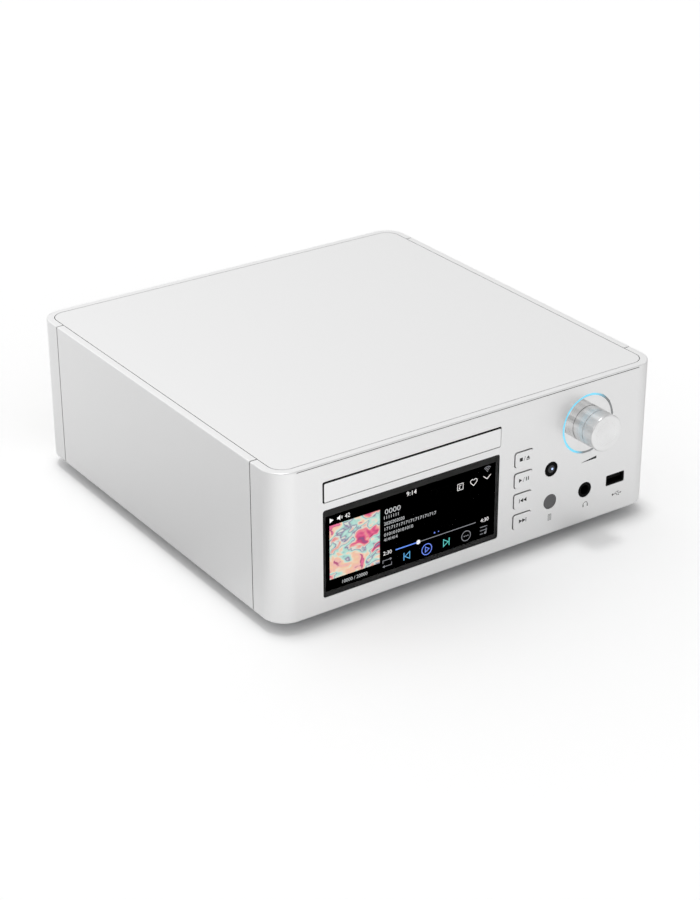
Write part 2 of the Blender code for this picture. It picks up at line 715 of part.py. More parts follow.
def build_front_panel(case):
    """The thick front with its returns round both corners, all openings, and bosses for the control board."""
    outline = shell_outline(FRONT, 1, FRONT_THICKNESS, FRONT_RETURN)
    panel = finished("front_panel", prism(bmesh.new(), outline, "Z", 0, CASE_HEIGHT), "silver", (0, 0, 0), case)
    bevel(panel, CASE_EDGE)
    cut_plate_recesses(panel)
    pocket_x = (BUTTON_X - BUTTON_WIDTH / 2 - POCKET_MARGIN, RIGHT - CONTROL_BOARD_RIGHT_MARGIN)
    pocket_z = (CONTROL_BOARD_BOTTOM_MARGIN, CASE_HEIGHT - CONTROL_BOARD_TOP_MARGIN)
    cut(panel, block(bmesh.new(), pocket_x, (FRONT + CONTROL_SKIN, PANEL_BACK + CUT_OVERRUN), pocket_z))
    bosses = bmesh.new()
    for x, z in board_bosses():
        low, high = FRONT + CONTROL_SKIN - WELD_LAP, BOARD_FRONT - SEAT_GAP
        rod(bosses, BOSS_RADIUS, "Y", x, z, low, high, TINY_STEPS)
    join(panel, bosses)
    cut(panel, front_openings())
    recess = bmesh.new()
    rod(recess, RING_OUTER_RADIUS + SEAT_GAP, "Y", KNOB_X, KNOB_Z, FRONT - CUT_OVERRUN, RING_BACK, ROUND_STEPS)
    cut(panel, recess)


def build_case(case):
    """The side walls, back frame, top and bottom plates round the front panel."""
    build_front_panel(case)
    side_y = (FRONT + FRONT_RETURN + SEAM_GAP, BACK - REAR_RETURN - SEAM_GAP)
    for name, x in (("left_side_panel", (LEFT, LEFT + WALL)), ("right_side_panel", (RIGHT - WALL, RIGHT))):
        panel = finished(name, block(bmesh.new(), x, side_y, (0, CASE_HEIGHT)), "silver", (0, 0, 0), case)
        bevel(panel, CASE_EDGE / 2)
        cut_plate_recesses(panel)
    outline = shell_outline(BACK, -1, REAR_THICKNESS, REAR_RETURN)
    frame = finished("rear_frame", prism(bmesh.new(), outline, "Z", 0, CASE_HEIGHT), "silver", (0, 0, 0), case)
    bevel(frame, CASE_EDGE)
    cut_plate_recesses(frame)
    x = (LEFT + REAR_OPENING_MARGIN, RIGHT - REAR_OPENING_MARGIN)
    z = (REAR_OPENING_EDGE, CASE_HEIGHT - REAR_OPENING_EDGE)
    cut(frame, block(bmesh.new(), x, (BACK - REAR_THICKNESS - CUT_OVERRUN, BACK + CUT_OVERRUN), z))
    top = prism(bmesh.new(), plate_outline(SEAM_GAP), "Z", TOP_UNDER, CASE_HEIGHT)
    finished("top_plate", top, "silver", (0, 0, 0), case)
    bottom = prism(bmesh.new(), plate_outline(SEAM_GAP), "Z", BOTTOM_RECESS, BOTTOM_TOP)
    bottom = finished("bottom_plate", bottom, "steel", (0, 0, 0), case)
    posts = bmesh.new()
    for x, y in standoff_places():
        top = BOTTOM_TOP + BOARD_STANDOFF - SEAT_GAP
        rod(posts, STANDOFF_RADIUS, "Z", x, y, BOTTOM_TOP - WELD_LAP, top, TINY_STEPS)
    join(bottom, posts)


def build_feet(case):
    """Four turned feet, each with a rubber pad let into its underside."""
    top = BOTTOM_RECESS - SEAT_GAP
    low = -GROUND_CLEARANCE + PAD_STAND
    pocket = PAD_RADIUS + SEAT_GAP
    profile = [(0, top), (FOOT_WAIST, top), (FOOT_WAIST, top - FOOT_NECK)]
    profile.append((FOOT_RADIUS, top - 2 * FOOT_NECK))
    profile += [(FOOT_RADIUS, low), (pocket, low), (pocket, low + PAD_POCKET), (0, low + PAD_POCKET)]
    pad = [(0, low + PAD_POCKET - SEAT_GAP), (PAD_RADIUS, low + PAD_POCKET - SEAT_GAP)]
    pad += [(PAD_RADIUS, -GROUND_CLEARANCE), (0, -GROUND_CLEARANCE)]
    for row, y in (("front", FRONT + FOOT_INSET), ("rear", BACK - FOOT_INSET)):
        for side, x in (("left", LEFT + FOOT_INSET), ("right", RIGHT - FOOT_INSET)):
            shape = turned(bmesh.new(), profile, "Z", 0, 0, SMALL_STEPS)
            finished(f"foot_{row}_{side}", shape, "silver", (x, y, 0), case)
            shape = turned(bmesh.new(), pad, "Z", 0, 0, SMALL_STEPS)
            finished(f"foot_pad_{row}_{side}", shape, "rubber", (x, y, 0), case)


def build_display(case):
    """The window glass and the screen behind it."""
    glass = (WINDOW_WIDTH - 2 * SEAT_GAP, WINDOW_HEIGHT - 2 * SEAT_GAP)
    outline = rounded(WINDOW_X, WINDOW_Z, *glass, WINDOW_CORNER)
    shape = prism(bmesh.new(), outline, "Y", FRONT, FRONT + GLASS_THICKNESS)
    finished("display_window", shape, "glass", (0, 0, 0), case)
    start = FRONT + GLASS_THICKNESS + SEAT_GAP
    size = (WINDOW_WIDTH - 2 * SCREEN_MARGIN, WINDOW_HEIGHT - 2 * SCREEN_MARGIN)
    frame = (WINDOW_WIDTH + 2 * SCREEN_FRAME_MARGIN, WINDOW_HEIGHT + 2 * SCREEN_FRAME_MARGIN)
    shape = block(bmesh.new(), about(WINDOW_X, size[0]), (start, SCREEN_BACK), about(WINDOW_Z, size[1]))
    screen = finished("display_module", shape, "black", (0, 0, 0), case)
    frame_y = (PANEL_BACK + SEAT_GAP, SCREEN_BACK)
    shape = block(bmesh.new(), about(WINDOW_X, frame[0]), frame_y, about(WINDOW_Z, frame[1]))
    join(screen, shape)


def build_buttons(case):
    """Four capped buttons, each with a flange behind the front and a stem towards its switch."""
    flange_start = FRONT + CONTROL_SKIN + SEAT_GAP
    stem_end = BOARD_FRONT - SWITCH_HEIGHT - BUTTON_TRAVEL - SEAT_GAP
    for i, z in enumerate(button_heights()):
        cap = rounded(0, 0, BUTTON_WIDTH, BUTTON_HEIGHT, BUTTON_CORNER)
        shape = prism(bmesh.new(), cap, "Y", FRONT - BUTTON_PROUD, flange_start + WELD_LAP)
        button = finished(f"button_{i + 1}", shape, "silver", (BUTTON_X, 0, z), case)
        flange = (BUTTON_WIDTH + 2 * BUTTON_FLANGE, BUTTON_HEIGHT + 2 * BUTTON_FLANGE)
        flange_y = (flange_start, flange_start + BUTTON_FLANGE_THICKNESS)
        shape = block(bmesh.new(), about(0, flange[0]), flange_y, about(0, flange[1]))
        join(button, shape)
        shape = rod(bmesh.new(), BUTTON_STEM_RADIUS, "Y", 0, 0, flange_start + WELD_LAP, stem_end, TINY_STEPS)
        join(button, shape)


def build_lenses(case):
    """The status light's lens and the remote receiver's window, each with a flange behind the front."""
    flange_start = FRONT + CONTROL_SKIN + SEAT_GAP
    flange_end = flange_start + LENS_FLANGE_THICKNESS
    wide = LENS_RADIUS + LENS_FLANGE
    profile = [(0, FRONT), (LENS_RADIUS, FRONT), (LENS_RADIUS, flange_start), (wide, flange_start)]
    profile += [(wide, flange_end), (0, flange_end)]
    lenses = (("indicator_lens", INDICATOR_HEIGHT, "glass"), ("remote_window", REMOTE_HEIGHT, "grey plastic"))
    for name, z, finish in lenses:
        finished(name, turned(bmesh.new(), profile, "Y", LENS_X, z, SMALL_STEPS), finish, (0, 0, 0), case)


def build_front_sockets(case):
    """The headphone jack and the USB socket behind their openings."""
    body_start = FRONT + CONTROL_SKIN + SEAT_GAP
    body_y = (body_start, body_start + JACK_BODY_LENGTH)
    size = (about(KNOB_X, JACK_BODY_WIDTH), body_y, about(REMOTE_HEIGHT, JACK_BODY_HEIGHT))
    jack = finished("headphone_jack", block(bmesh.new(), *size), "black", (0, 0, 0), case)
    join(jack, rod(bmesh.new(), JACK_NOSE_RADIUS, "Y", KNOB_X, REMOTE_HEIGHT, FRONT, body_start + WELD_LAP))
    bore_y = (FRONT - CUT_OVERRUN, body_y[1] - JACK_END_WALL)
    cut(jack, rod(bmesh.new(), JACK_BORE_RADIUS, "Y", KNOB_X, REMOTE_HEIGHT, *bore_y))
    outline = rounded(USB_X, USB_HEIGHT, USB_OUTER_WIDTH, USB_OUTER_HEIGHT, USB_CORNER)
    shape = prism(bmesh.new(), outline, "Y", FRONT + USB_SET_BACK, FRONT + USB_LENGTH)
    usb = finished("usb_socket", shape, "steel", (0, 0, 0), case)
    flange = (USB_OUTER_WIDTH + 2 * USB_FLANGE, USB_OUTER_HEIGHT + 2 * USB_FLANGE)
    flange_y = (body_start, body_start + USB_FLANGE)
    join(usb, block(bmesh.new(), about(USB_X, flange[0]), flange_y, about(USB_HEIGHT, flange[1])))
    hollow = (USB_OUTER_WIDTH - 2 * USB_WALL, USB_OUTER_HEIGHT - 2 * USB_WALL)
    hollow_y = (FRONT - CUT_OVERRUN, FRONT + USB_LENGTH - USB_WALL)
    cut(usb, block(bmesh.new(), about(USB_X, hollow[0]), hollow_y, about(USB_HEIGHT, hollow[1])))


def build_volume(case):
    """The volume knob on its shaft, the encoder, and the bright disc and light ring round them."""
    place = (KNOB_X, FRONT, KNOB_Z)
    face, back = -KNOB_REACH, -KNOB_STANDOFF
    groove = -KNOB_GROOVE_FROM_PANEL
    groove_end = groove + KNOB_GROOVE_WIDTH
    bore = SHAFT_RADIUS + SHAFT_BORE_GAP
    bore_end = face + KNOB_WALL
    skirt = back - KNOB_SKIRT_DEPTH
    part_way = (KNOB_DISH_RADIUS * KNOB_DISH_RADIUS_SHARE, face + KNOB_DISH_DEPTH * KNOB_DISH_DEPTH_SHARE)
    profile = [(0, face + KNOB_DISH_DEPTH), part_way]
    profile += [(KNOB_DISH_RADIUS, face), (KNOB_RADIUS - KNOB_EDGE, face), (KNOB_RADIUS, face + KNOB_EDGE)]
    profile += [(KNOB_RADIUS, groove), (KNOB_RADIUS - KNOB_GROOVE_DEPTH, groove)]
    profile += [(KNOB_RADIUS - KNOB_GROOVE_DEPTH, groove_end), (KNOB_RADIUS, groove_end), (KNOB_RADIUS, back)]
    profile += [(KNOB_RADIUS - KNOB_WALL, back), (KNOB_RADIUS - KNOB_WALL, skirt)]
    profile += [(bore, skirt), (bore, bore_end), (0, bore_end)]
    finished("volume_knob", turned(bmesh.new(), profile, "Y", 0, 0), "silver", place, case)
    shaft_end = ENCODER_FACE + ENCODER_LENGTH / 2 - FRONT
    shaft = rod(bmesh.new(), SHAFT_RADIUS, "Y", 0, 0, bore_end + KNOB_TRAVEL + SEAT_GAP, shaft_end)
    finished("encoder_shaft", shaft, "steel", place, case)
    inner = RING_OUTER_RADIUS - RING_WIDTH
    ring = [(RING_OUTER_RADIUS, 0), (RING_OUTER_RADIUS, RING_DEPTH), (inner, RING_DEPTH), (inner, 0)]
    finished("light_ring", turned(bmesh.new(), ring, "Y", 0, 0), "light", place, case)
    rim = inner - DISC_PLATE_GAP
    hole = SHAFT_RADIUS + RUNNING_GAP
    plate = [(rim, 0), (rim, RING_DEPTH), (hole, RING_DEPTH), (hole, 0)]
    finished("knob_disc", turned(bmesh.new(), plate, "Y", 0, 0), "polished", place, case)
    body_y = (ENCODER_FACE - FRONT, BOARD_FRONT - SEAT_GAP - FRONT)
    shape = block(bmesh.new(), about(0, ENCODER_SIZE), body_y, about(0, ENCODER_SIZE))
    encoder = finished("volume_encoder", shape, "black", place, case)
    neck_start = RING_BACK + SEAT_GAP - FRONT
    join(encoder, rod(bmesh.new(), ENCODER_NECK_RADIUS, "Y", 0, 0, neck_start, body_y[0] + WELD_LAP))
    cut(encoder, rod(bmesh.new(), bore, "Y", 0, 0, neck_start - CUT_OVERRUN, shaft_end + SEAT_GAP))


def build_control_board(case):
    """The upright board that carries the button switches and the encoder, notched round the sockets."""
    x = (SLOT_RIGHT + CONTROL_BOARD_LEFT, RIGHT - CONTROL_BOARD_RIGHT_MARGIN)
    z = (CONTROL_BOARD_BOTTOM_MARGIN, CASE_HEIGHT - CONTROL_BOARD_TOP_MARGIN)
    notch_x, notch_z = x[1] - CONTROL_BOARD_NOTCH_WIDTH, z[0] + CONTROL_BOARD_NOTCH_HEIGHT
    outline = [(x[0], z[0]), (notch_x, z[0]), (notch_x, notch_z), (x[1], notch_z), (x[1], z[1]), (x[0], z[1])]
    shape = prism(bmesh.new(), outline, "Y", BOARD_FRONT, BOARD_BACK)
    board = finished("control_board", shape, "board", (0, 0, 0), case)
    parts = bmesh.new()
    for height in button_heights():
        switch_y = (BOARD_FRONT - SWITCH_HEIGHT, BOARD_FRONT + WELD_LAP)
        block(parts, about(BUTTON_X, SWITCH_SIZE), switch_y, about(height, SWITCH_SIZE))
    join(board, parts)


def rack_tooth_phase():
    """How far past its pinion's middle a rack has a tooth: half a pitch, as a gap meets the pinion's tooth."""
    return math.pi * TOOTH_MODULE / 2


def build_tray(case):
    """The sliding tray with its disc wells, window and rack, and the front plate that it carries."""
    front = TRAY_START + TRAY_FLANGE_THICKNESS
    length = TRAY_END - front + WELD_LAP
    outline = rounded(DISC_X, TRAY_END - length / 2, TRAY_WIDTH, length, TRAY_CORNER)
    slab = prism(bmesh.new(), outline, "Z", TRAY_UNDER, TRAY_RIM)
    tray = finished("disc_tray", slab, "black", (0, 0, 0), case)
    flange_z = (SLOT_BOTTOM + RUNNING_GAP, TRAY_RIM + TRAY_FLANGE_ABOVE_RIM)
    join(tray, block(bmesh.new(), about(DISC_X, TRAY_WIDTH), (TRAY_START, front), flange_z))
    back = DISC_X - TRAY_WIDTH / 2 + RACK_FROM_EDGE
    tooth_at = GEAR_ROW_Y + rack_tooth_phase()
    rack = rack_outline(RACK_PITCH_X, back, front - WELD_LAP, TRAY_END - TRAY_CORNER, tooth_at, 1)
    join(tray, prism(bmesh.new(), rack, "Z", RACK_UNDER, TRAY_UNDER + WELD_LAP))
    well_z = (TRAY_FLOOR, TRAY_RIM + CUT_OVERRUN)
    cut(tray, rod(bmesh.new(), DISC_RADIUS + TRAY_WELL_GAP, "Z", DISC_X, DISC_Y, *well_z, WELL_STEPS))
    small_floor = TRAY_FLOOR - SMALL_WELL_DEPTH
    small = rod(bmesh.new(), SMALL_DISC_RADIUS, "Z", DISC_X, DISC_Y, small_floor, TRAY_RIM, WELL_STEPS)
    cut(tray, small)
    window_y = (DISC_Y - TRAY_WINDOW_FRONT, DISC_Y + TRAY_WINDOW_BACK)
    window_z = (TRAY_UNDER - CUT_OVERRUN, TRAY_RIM + CUT_OVERRUN)
    cut(tray, block(bmesh.new(), about(DISC_X, TRAY_WINDOW_WIDTH), window_y, window_z))
    size = (SLOT_WIDTH - 2 * FASCIA_GAP, SLOT_HEIGHT - 2 * FASCIA_GAP)
    outline = rounded(SLOT_X, SLOT_Z, *size, SLOT_CORNER - FASCIA_GAP)
    plate = prism(bmesh.new(), outline, "Y", FRONT, FASCIA_BACK)
    bevel(finished("tray_fascia", plate, "silver", (0, 0, 0), case), FASCIA_EDGE)


def chassis_hollow(low):
    """The section of the space in the chassis from a height up, with a guide lip under and over the tray."""
    wide = TRAY_WIDTH / 2 + CHASSIS_GAP
    narrow = wide - GUIDE_LIP
    under, over = TRAY_UNDER - RUNNING_GAP, TRAY_RIM + RUNNING_GAP
    lip_under = under - GUIDE_LIP_THICKNESS
    steps = [(wide, low), (wide, lip_under), (narrow, lip_under), (narrow, under)]
    steps += [(wide, under), (wide, over), (narrow, over), (narrow, over + GUIDE_LIP_THICKNESS)]
    steps += [(wide, over + GUIDE_LIP_THICKNESS), (wide, CHASSIS_TOP + CUT_OVERRUN)]
    return [(DISC_X + x, z) for x, z in steps] + [(DISC_X - x, z) for x, z in reversed(steps)]


def hinge_post_places():
    """The middle of each hinge post along X, from the traverse's left and right sides."""
    left = DISC_X - TRAVERSE_HALF_WIDTH - RUNNING_GAP - HINGE_POST_WIDTH / 2
    right = DISC_X + TRAVERSE_RIGHT + RUNNING_GAP + HINGE_POST_WIDTH / 2
    return (left, right)


def build_chassis(case):
    """The moulded loader chassis with its guide lips, gear posts, hinge posts and cam ribs."""
    x, y = about(DISC_X, 2 * CHASSIS_HALF), (CHASSIS_FRONT, CHASSIS_BACK)
    shape = block(bmesh.new(), x, y, (CHASSIS_FLOOR_UNDER, CHASSIS_TOP))
    chassis = finished("loader_chassis", shape, "black", (0, 0, 0), case)
    inner_y = (CHASSIS_FRONT + CHASSIS_WALL, CHASSIS_BACK - CHASSIS_WALL)
    cut(chassis, prism(bmesh.new(), chassis_hollow(CHASSIS_FLOOR_TOP), "Y", *inner_y))
    door = (CHASSIS_FRONT - CUT_OVERRUN, CHASSIS_FRONT + CHASSIS_WALL + CUT_OVERRUN)
    inner_x = about(DISC_X, TRAY_WIDTH + 2 * CHASSIS_GAP)
    door_z = (RACK_UNDER - RUNNING_GAP, CHASSIS_TOP + CUT_OVERRUN)
    cut(chassis, block(bmesh.new(), inner_x, door, door_z))
    opening_x = (DISC_X - CHASSIS_OPENING_LEFT, DISC_X + CHASSIS_OPENING_RIGHT)
    opening_y = (DISC_Y - CHASSIS_OPENING_FRONT, DISC_Y + CHASSIS_OPENING_BACK)
    floor_z = (CHASSIS_FLOOR_UNDER - CUT_OVERRUN, CHASSIS_FLOOR_TOP + CUT_OVERRUN)
    holes = block(bmesh.new(), opening_x, opening_y, floor_z)
    rod(holes, MOTOR_NECK_RADIUS + SEAT_GAP, "Z", LOADING_MOTOR_X, GEAR_ROW_Y, *floor_z)
    cut(chassis, holes)
    low = CHASSIS_FLOOR_TOP - WELD_LAP
    posts = bmesh.new()
    gear_posts = ((TRAY_GEAR_X, TRAY_UNDER - 2 * RUNNING_GAP), (BELT_GEAR_X, PULLEY_BASE + PULLEY_THICKNESS))
    for gear_x, top in gear_posts:
        rod(posts, GEAR_POST_RADIUS, "Z", gear_x, GEAR_ROW_Y, low, top)
    for gear_x in (TRAY_GEAR_X, BELT_GEAR_X):
        for side in (-1, 1):
            y_rib = GEAR_ROW_Y + side * (GEAR_HUB_RADIUS + GEAR_POST_RADIUS) / 2 + side * GEAR_BORE_GAP
            rib_y = about(y_rib, GEAR_POST_RADIUS / 2)
            block(posts, about(gear_x, GEAR_POST_RADIUS), rib_y, (low, GEAR_BASE - SEAT_GAP))
    for post_x in hinge_post_places():
        post_y = about(HINGE_Y, 2 * HINGE_POST_WIDTH)
        block(posts, about(post_x, HINGE_POST_WIDTH), post_y, (low, HINGE_Z + 2 * HINGE_PIN_RADIUS))
    for side in (-1, 1):
        rib_y = about(CAM_Y + side * (CAM_THICKNESS / 2 + CAM_RIB_GAP + CAM_RIB / 2), CAM_RIB)
        rib_x = (DISC_X - CAM_LEFT_REACH, DISC_X + CAM_LENGTH - CAM_LEFT_REACH + CAM_TRAVEL)
        block(posts, rib_x, rib_y, (low, CHASSIS_FLOOR_TOP + CAM_RIB_HEIGHT))
    join(chassis, posts)
    bore_x = (x[0] + 2 * CHASSIS_WALL, x[1] - CHASSIS_WALL)
    cut(chassis, rod(bmesh.new(), HINGE_PIN_RADIUS + HINGE_GAP, "X", HINGE_Y, HINGE_Z, *bore_x))


def build_brackets(case):
    """The two folded steel brackets that hold the chassis up from the bottom plate."""
    low, high = BOTTOM_TOP + SEAT_GAP, CHASSIS_FLOOR_UNDER - SEAT_GAP
    thick = BRACKET_THICKNESS
    for name, side in (("loader_bracket_left", -1), ("loader_bracket_right", 1)):
        wall = DISC_X + side * (CHASSIS_HALF - BRACKET_INSET)
        foot, inner = wall + side * BRACKET_FLANGE, wall - side * thick
        ledge = wall - side * BRACKET_LEDGE
        outline = [(foot, low), (foot, low + thick), (wall, low + thick), (wall, high), (ledge, high)]
        outline += [(ledge, high - thick), (inner, high - thick), (inner, low)]
        y = (CHASSIS_FRONT + BRACKET_END, main_board_limits()[1][0] - BRACKET_BEFORE_BOARD)
        finished(name, prism(bmesh.new(), outline, "Y", *y), "steel", (0, 0, 0), case)


def pulley_profile(radius, bore):
    """A pulley's section from its base up, with a square groove for the belt."""
    lip = (PULLEY_THICKNESS - 2 * (BELT_RADIUS + SEAT_GAP)) / 2
    inner = radius - PULLEY_GROOVE
    steps = [(bore, 0), (radius, 0), (radius, lip), (inner, lip), (inner, PULLEY_THICKNESS - lip)]
    return steps + [(radius, PULLEY_THICKNESS - lip), (radius, PULLEY_THICKNESS), (bore, PULLEY_THICKNESS)]


def belt_line(radius):
    """The radius of the belt's centre line on a pulley."""
    return radius - PULLEY_GROOVE + SEAT_GAP + BELT_RADIUS


def build_loader_drive(case):
    """The loading motor, its pulley and belt, and the two gears that drive the tray's rack."""
    bore = GEAR_POST_RADIUS + GEAR_BORE_GAP
    place = (TRAY_GEAR_X, GEAR_ROW_Y, GEAR_BASE)
    gear = prism(bmesh.new(), gear_outline(TRAY_GEAR_TEETH, 0), "Z", 0, GEAR_THICKNESS)
    gear = finished("tray_gear", gear, "white plastic", place, case)
    pinion_top = TRAY_UNDER - RUNNING_GAP - GEAR_BASE
    pinion = gear_outline(TRAY_PINION_TEETH, math.pi)
    join(gear, prism(bmesh.new(), pinion, "Z", GEAR_THICKNESS - WELD_LAP, pinion_top))
    cut(gear, rod(bmesh.new(), bore, "Z", 0, 0, -CUT_OVERRUN, pinion_top + CUT_OVERRUN))
    place = (BELT_GEAR_X, GEAR_ROW_Y, GEAR_BASE)
    phase = math.pi + math.pi / BELT_PINION_TEETH
    rise = PULLEY_BASE - GEAR_BASE
    gear = prism(bmesh.new(), gear_outline(BELT_PINION_TEETH, phase), "Z", 0, rise + WELD_LAP)
    gear = finished("belt_gear", gear, "white plastic", place, case)
    pulley = [(radius, rise + z) for radius, z in pulley_profile(PULLEY_RADIUS, 0)]
    join(gear, turned(bmesh.new(), pulley, "Z", 0, 0))
    cut(gear, rod(bmesh.new(), bore, "Z", 0, 0, -CUT_OVERRUN, rise + PULLEY_THICKNESS + CUT_OVERRUN))
    place = (LOADING_MOTOR_X, GEAR_ROW_Y, PULLEY_BASE)
    bore = MOTOR_SHAFT_RADIUS + GEAR_BORE_GAP
    pulley = turned(bmesh.new(), pulley_profile(MOTOR_PULLEY_RADIUS, bore), "Z", 0, 0, SMALL_STEPS)
    finished("motor_pulley", pulley, "brass", place, case)
    top = CHASSIS_FLOOR_UNDER - SEAT_GAP
    profile = [(0, top - MOTOR_LENGTH), (MOTOR_RADIUS, top - MOTOR_LENGTH), (MOTOR_RADIUS, top)]
    profile.append((MOTOR_NECK_RADIUS, top))
    profile += [(MOTOR_NECK_RADIUS, PULLEY_BASE - SEAT_GAP), (MOTOR_SHAFT_RADIUS, PULLEY_BASE - SEAT_GAP)]
    profile += [(MOTOR_SHAFT_RADIUS, PULLEY_BASE + PULLEY_THICKNESS), (0, PULLEY_BASE + PULLEY_THICKNESS)]
    motor = turned(bmesh.new(), profile, "Z", LOADING_MOTOR_X, GEAR_ROW_Y, SMALL_STEPS)
    finished("loading_motor", motor, "steel", (0, 0, 0), case)
    build_belt(case)


def build_belt(case):
    """The round rubber belt, on both pulleys and the two straight runs between them."""
    large, small = belt_line(PULLEY_RADIUS), belt_line(MOTOR_PULLEY_RADIUS)
    lean = math.acos((large - small) / BELT_SPAN)
    points = []
    arcs = ((0, large, lean, 2 * (math.pi - lean)), (BELT_SPAN, small, -lean, 2 * lean))
    for centre, radius, start, sweep in arcs:
        for i in range(BELT_STEPS + 1):
            angle = start + sweep * i / BELT_STEPS
            points.append((centre + radius * math.cos(angle), radius * math.sin(angle)))
    curve = bpy.data.curves.new("drive_belt", "CURVE")
    curve.dimensions = "3D"
    curve.bevel_depth = BELT_RADIUS
    curve.bevel_resolution = 1
    spline = curve.splines.new("POLY")
    spline.points.add(len(points) - 1)
    for point, (x, y) in zip(spline.points, points):
        point.co = (x, y, 0, 1)
    spline.use_cyclic_u = True
    belt = bpy.data.objects.new("drive_belt", curve)
    curve.materials.append(material("drive_belt", "rubber"))
    belt.location = (BELT_GEAR_X, GEAR_ROW_Y, PULLEY_BASE + PULLEY_THICKNESS / 2)
    belt.parent = case
    bpy.context.scene.collection.objects.link(belt)


def build_cam(case):
    """The cam slider, a plate on edge with a slanted slot for each of the traverse's pins."""
    x = (-CAM_LEFT_REACH, CAM_LENGTH - CAM_LEFT_REACH)
    low = CHASSIS_FLOOR_TOP + SEAT_GAP
    shape = block(bmesh.new(), x, about(0, CAM_THICKNESS), (low, low + CAM_HEIGHT))
    cam = finished("cam_slider", shape, "white plastic", (DISC_X, CAM_Y, 0), case)
    half = CAM_PIN_RADIUS + CAM_PIN_GAP
    slots = bmesh.new()
    for pin_x in cam_pins():
        start, end = (pin_x, HINGE_Z - CAM_PIN_DROP), (pin_x - CAM_TRAVEL, HINGE_Z)
        prism(slots, slot_outline(start, end, half), "Y", -CUT_OVERRUN, CUT_OVERRUN)
    cut(cam, slots)


def cam_pins():
    """Where the traverse's two lifting pins are along X, from the disc's middle."""
    return (CAM_PIN_OFFSET - CAM_PIN_SPREAD, CAM_PIN_OFFSET + CAM_PIN_SPREAD)


def slot_outline(start, end, half):
    """A slot with round ends between two points."""
    lean = math.atan2(end[1] - start[1], end[0] - start[0])
    points = []
    for centre, turn in ((end, -math.pi / 2), (start, math.pi / 2)):
        for i in range(CORNER_STEPS + 1):
            angle = lean + turn + math.pi * i / CORNER_STEPS
            points.append((centre[0] + half * math.cos(angle), centre[1] + half * math.sin(angle)))
    return points


def build_traverse(case):
    """The hinged traverse frame with its pins, and the guide rods, spindle motor and sled motor on it."""
    half = TRAVERSE_THICKNESS / 2
    pivot = empty("traverse_pivot", (DISC_X, HINGE_Y, HINGE_Z), case)
    pivot.rotation_euler = (LOWERED_ANGLE, 0, 0)
    y = (TRAVERSE_FRONT, HINGE_PIN_RADIUS)
    shape = block(bmesh.new(), (-TRAVERSE_HALF_WIDTH, TRAVERSE_RIGHT), y, (-half, half))
    frame = finished("traverse_frame", shape, "black", (0, 0, 0), pivot)
    opening_y = (TRAVERSE_OPENING_START - TRAVERSE_BEHIND, TRAVERSE_OPENING_END - TRAVERSE_BEHIND)
    opening_x = (-TRAVERSE_OPENING_HALF_WIDTH, TRAVERSE_OPENING_HALF_WIDTH)
    cut(frame, block(bmesh.new(), opening_x, opening_y, (-half - CUT_OVERRUN, half + CUT_OVERRUN)))
    seats = bmesh.new()
    for edge in ((opening_y[0] - ROD_SEAT_DEPTH, opening_y[0]), (opening_y[1], opening_y[1] + ROD_SEAT_DEPTH)):
        block(seats, opening_x, edge, (-half - ROD_SEAT_DROP, half - WELD_LAP / 2))
    for side in (-TRAVERSE_HALF_WIDTH, TRAVERSE_RIGHT):
        reach = side + math.copysign(HINGE_PIN_LENGTH, side)
        ends = sorted((side - math.copysign(WELD_LAP, side), reach))
        rod(seats, HINGE_PIN_RADIUS, "X", 0, 0, *ends, TINY_STEPS)
    for pin_x in cam_pins():
        pin_end = TRAVERSE_FRONT - CAM_GAP - CAM_THICKNESS
        rod(seats, CAM_PIN_RADIUS, "Y", pin_x, 0, pin_end, TRAVERSE_FRONT + WELD_LAP, TINY_STEPS)
    join(frame, seats)
    holes = bmesh.new()
    for side in (-ROD_SPREAD, ROD_SPREAD):
        rod_y = (opening_y[0] - ROD_SEAT_DEPTH + ROD_SEAT_END, opening_y[1] + ROD_SEAT_DEPTH - ROD_SEAT_END)
        rod(holes, ROD_RADIUS + ROD_GAP, "Y", side, ROD_Z, *rod_y, TINY_STEPS)
    cut(frame, holes)
    build_on_traverse(pivot, rod_y, half)
    build_sled(pivot, half)


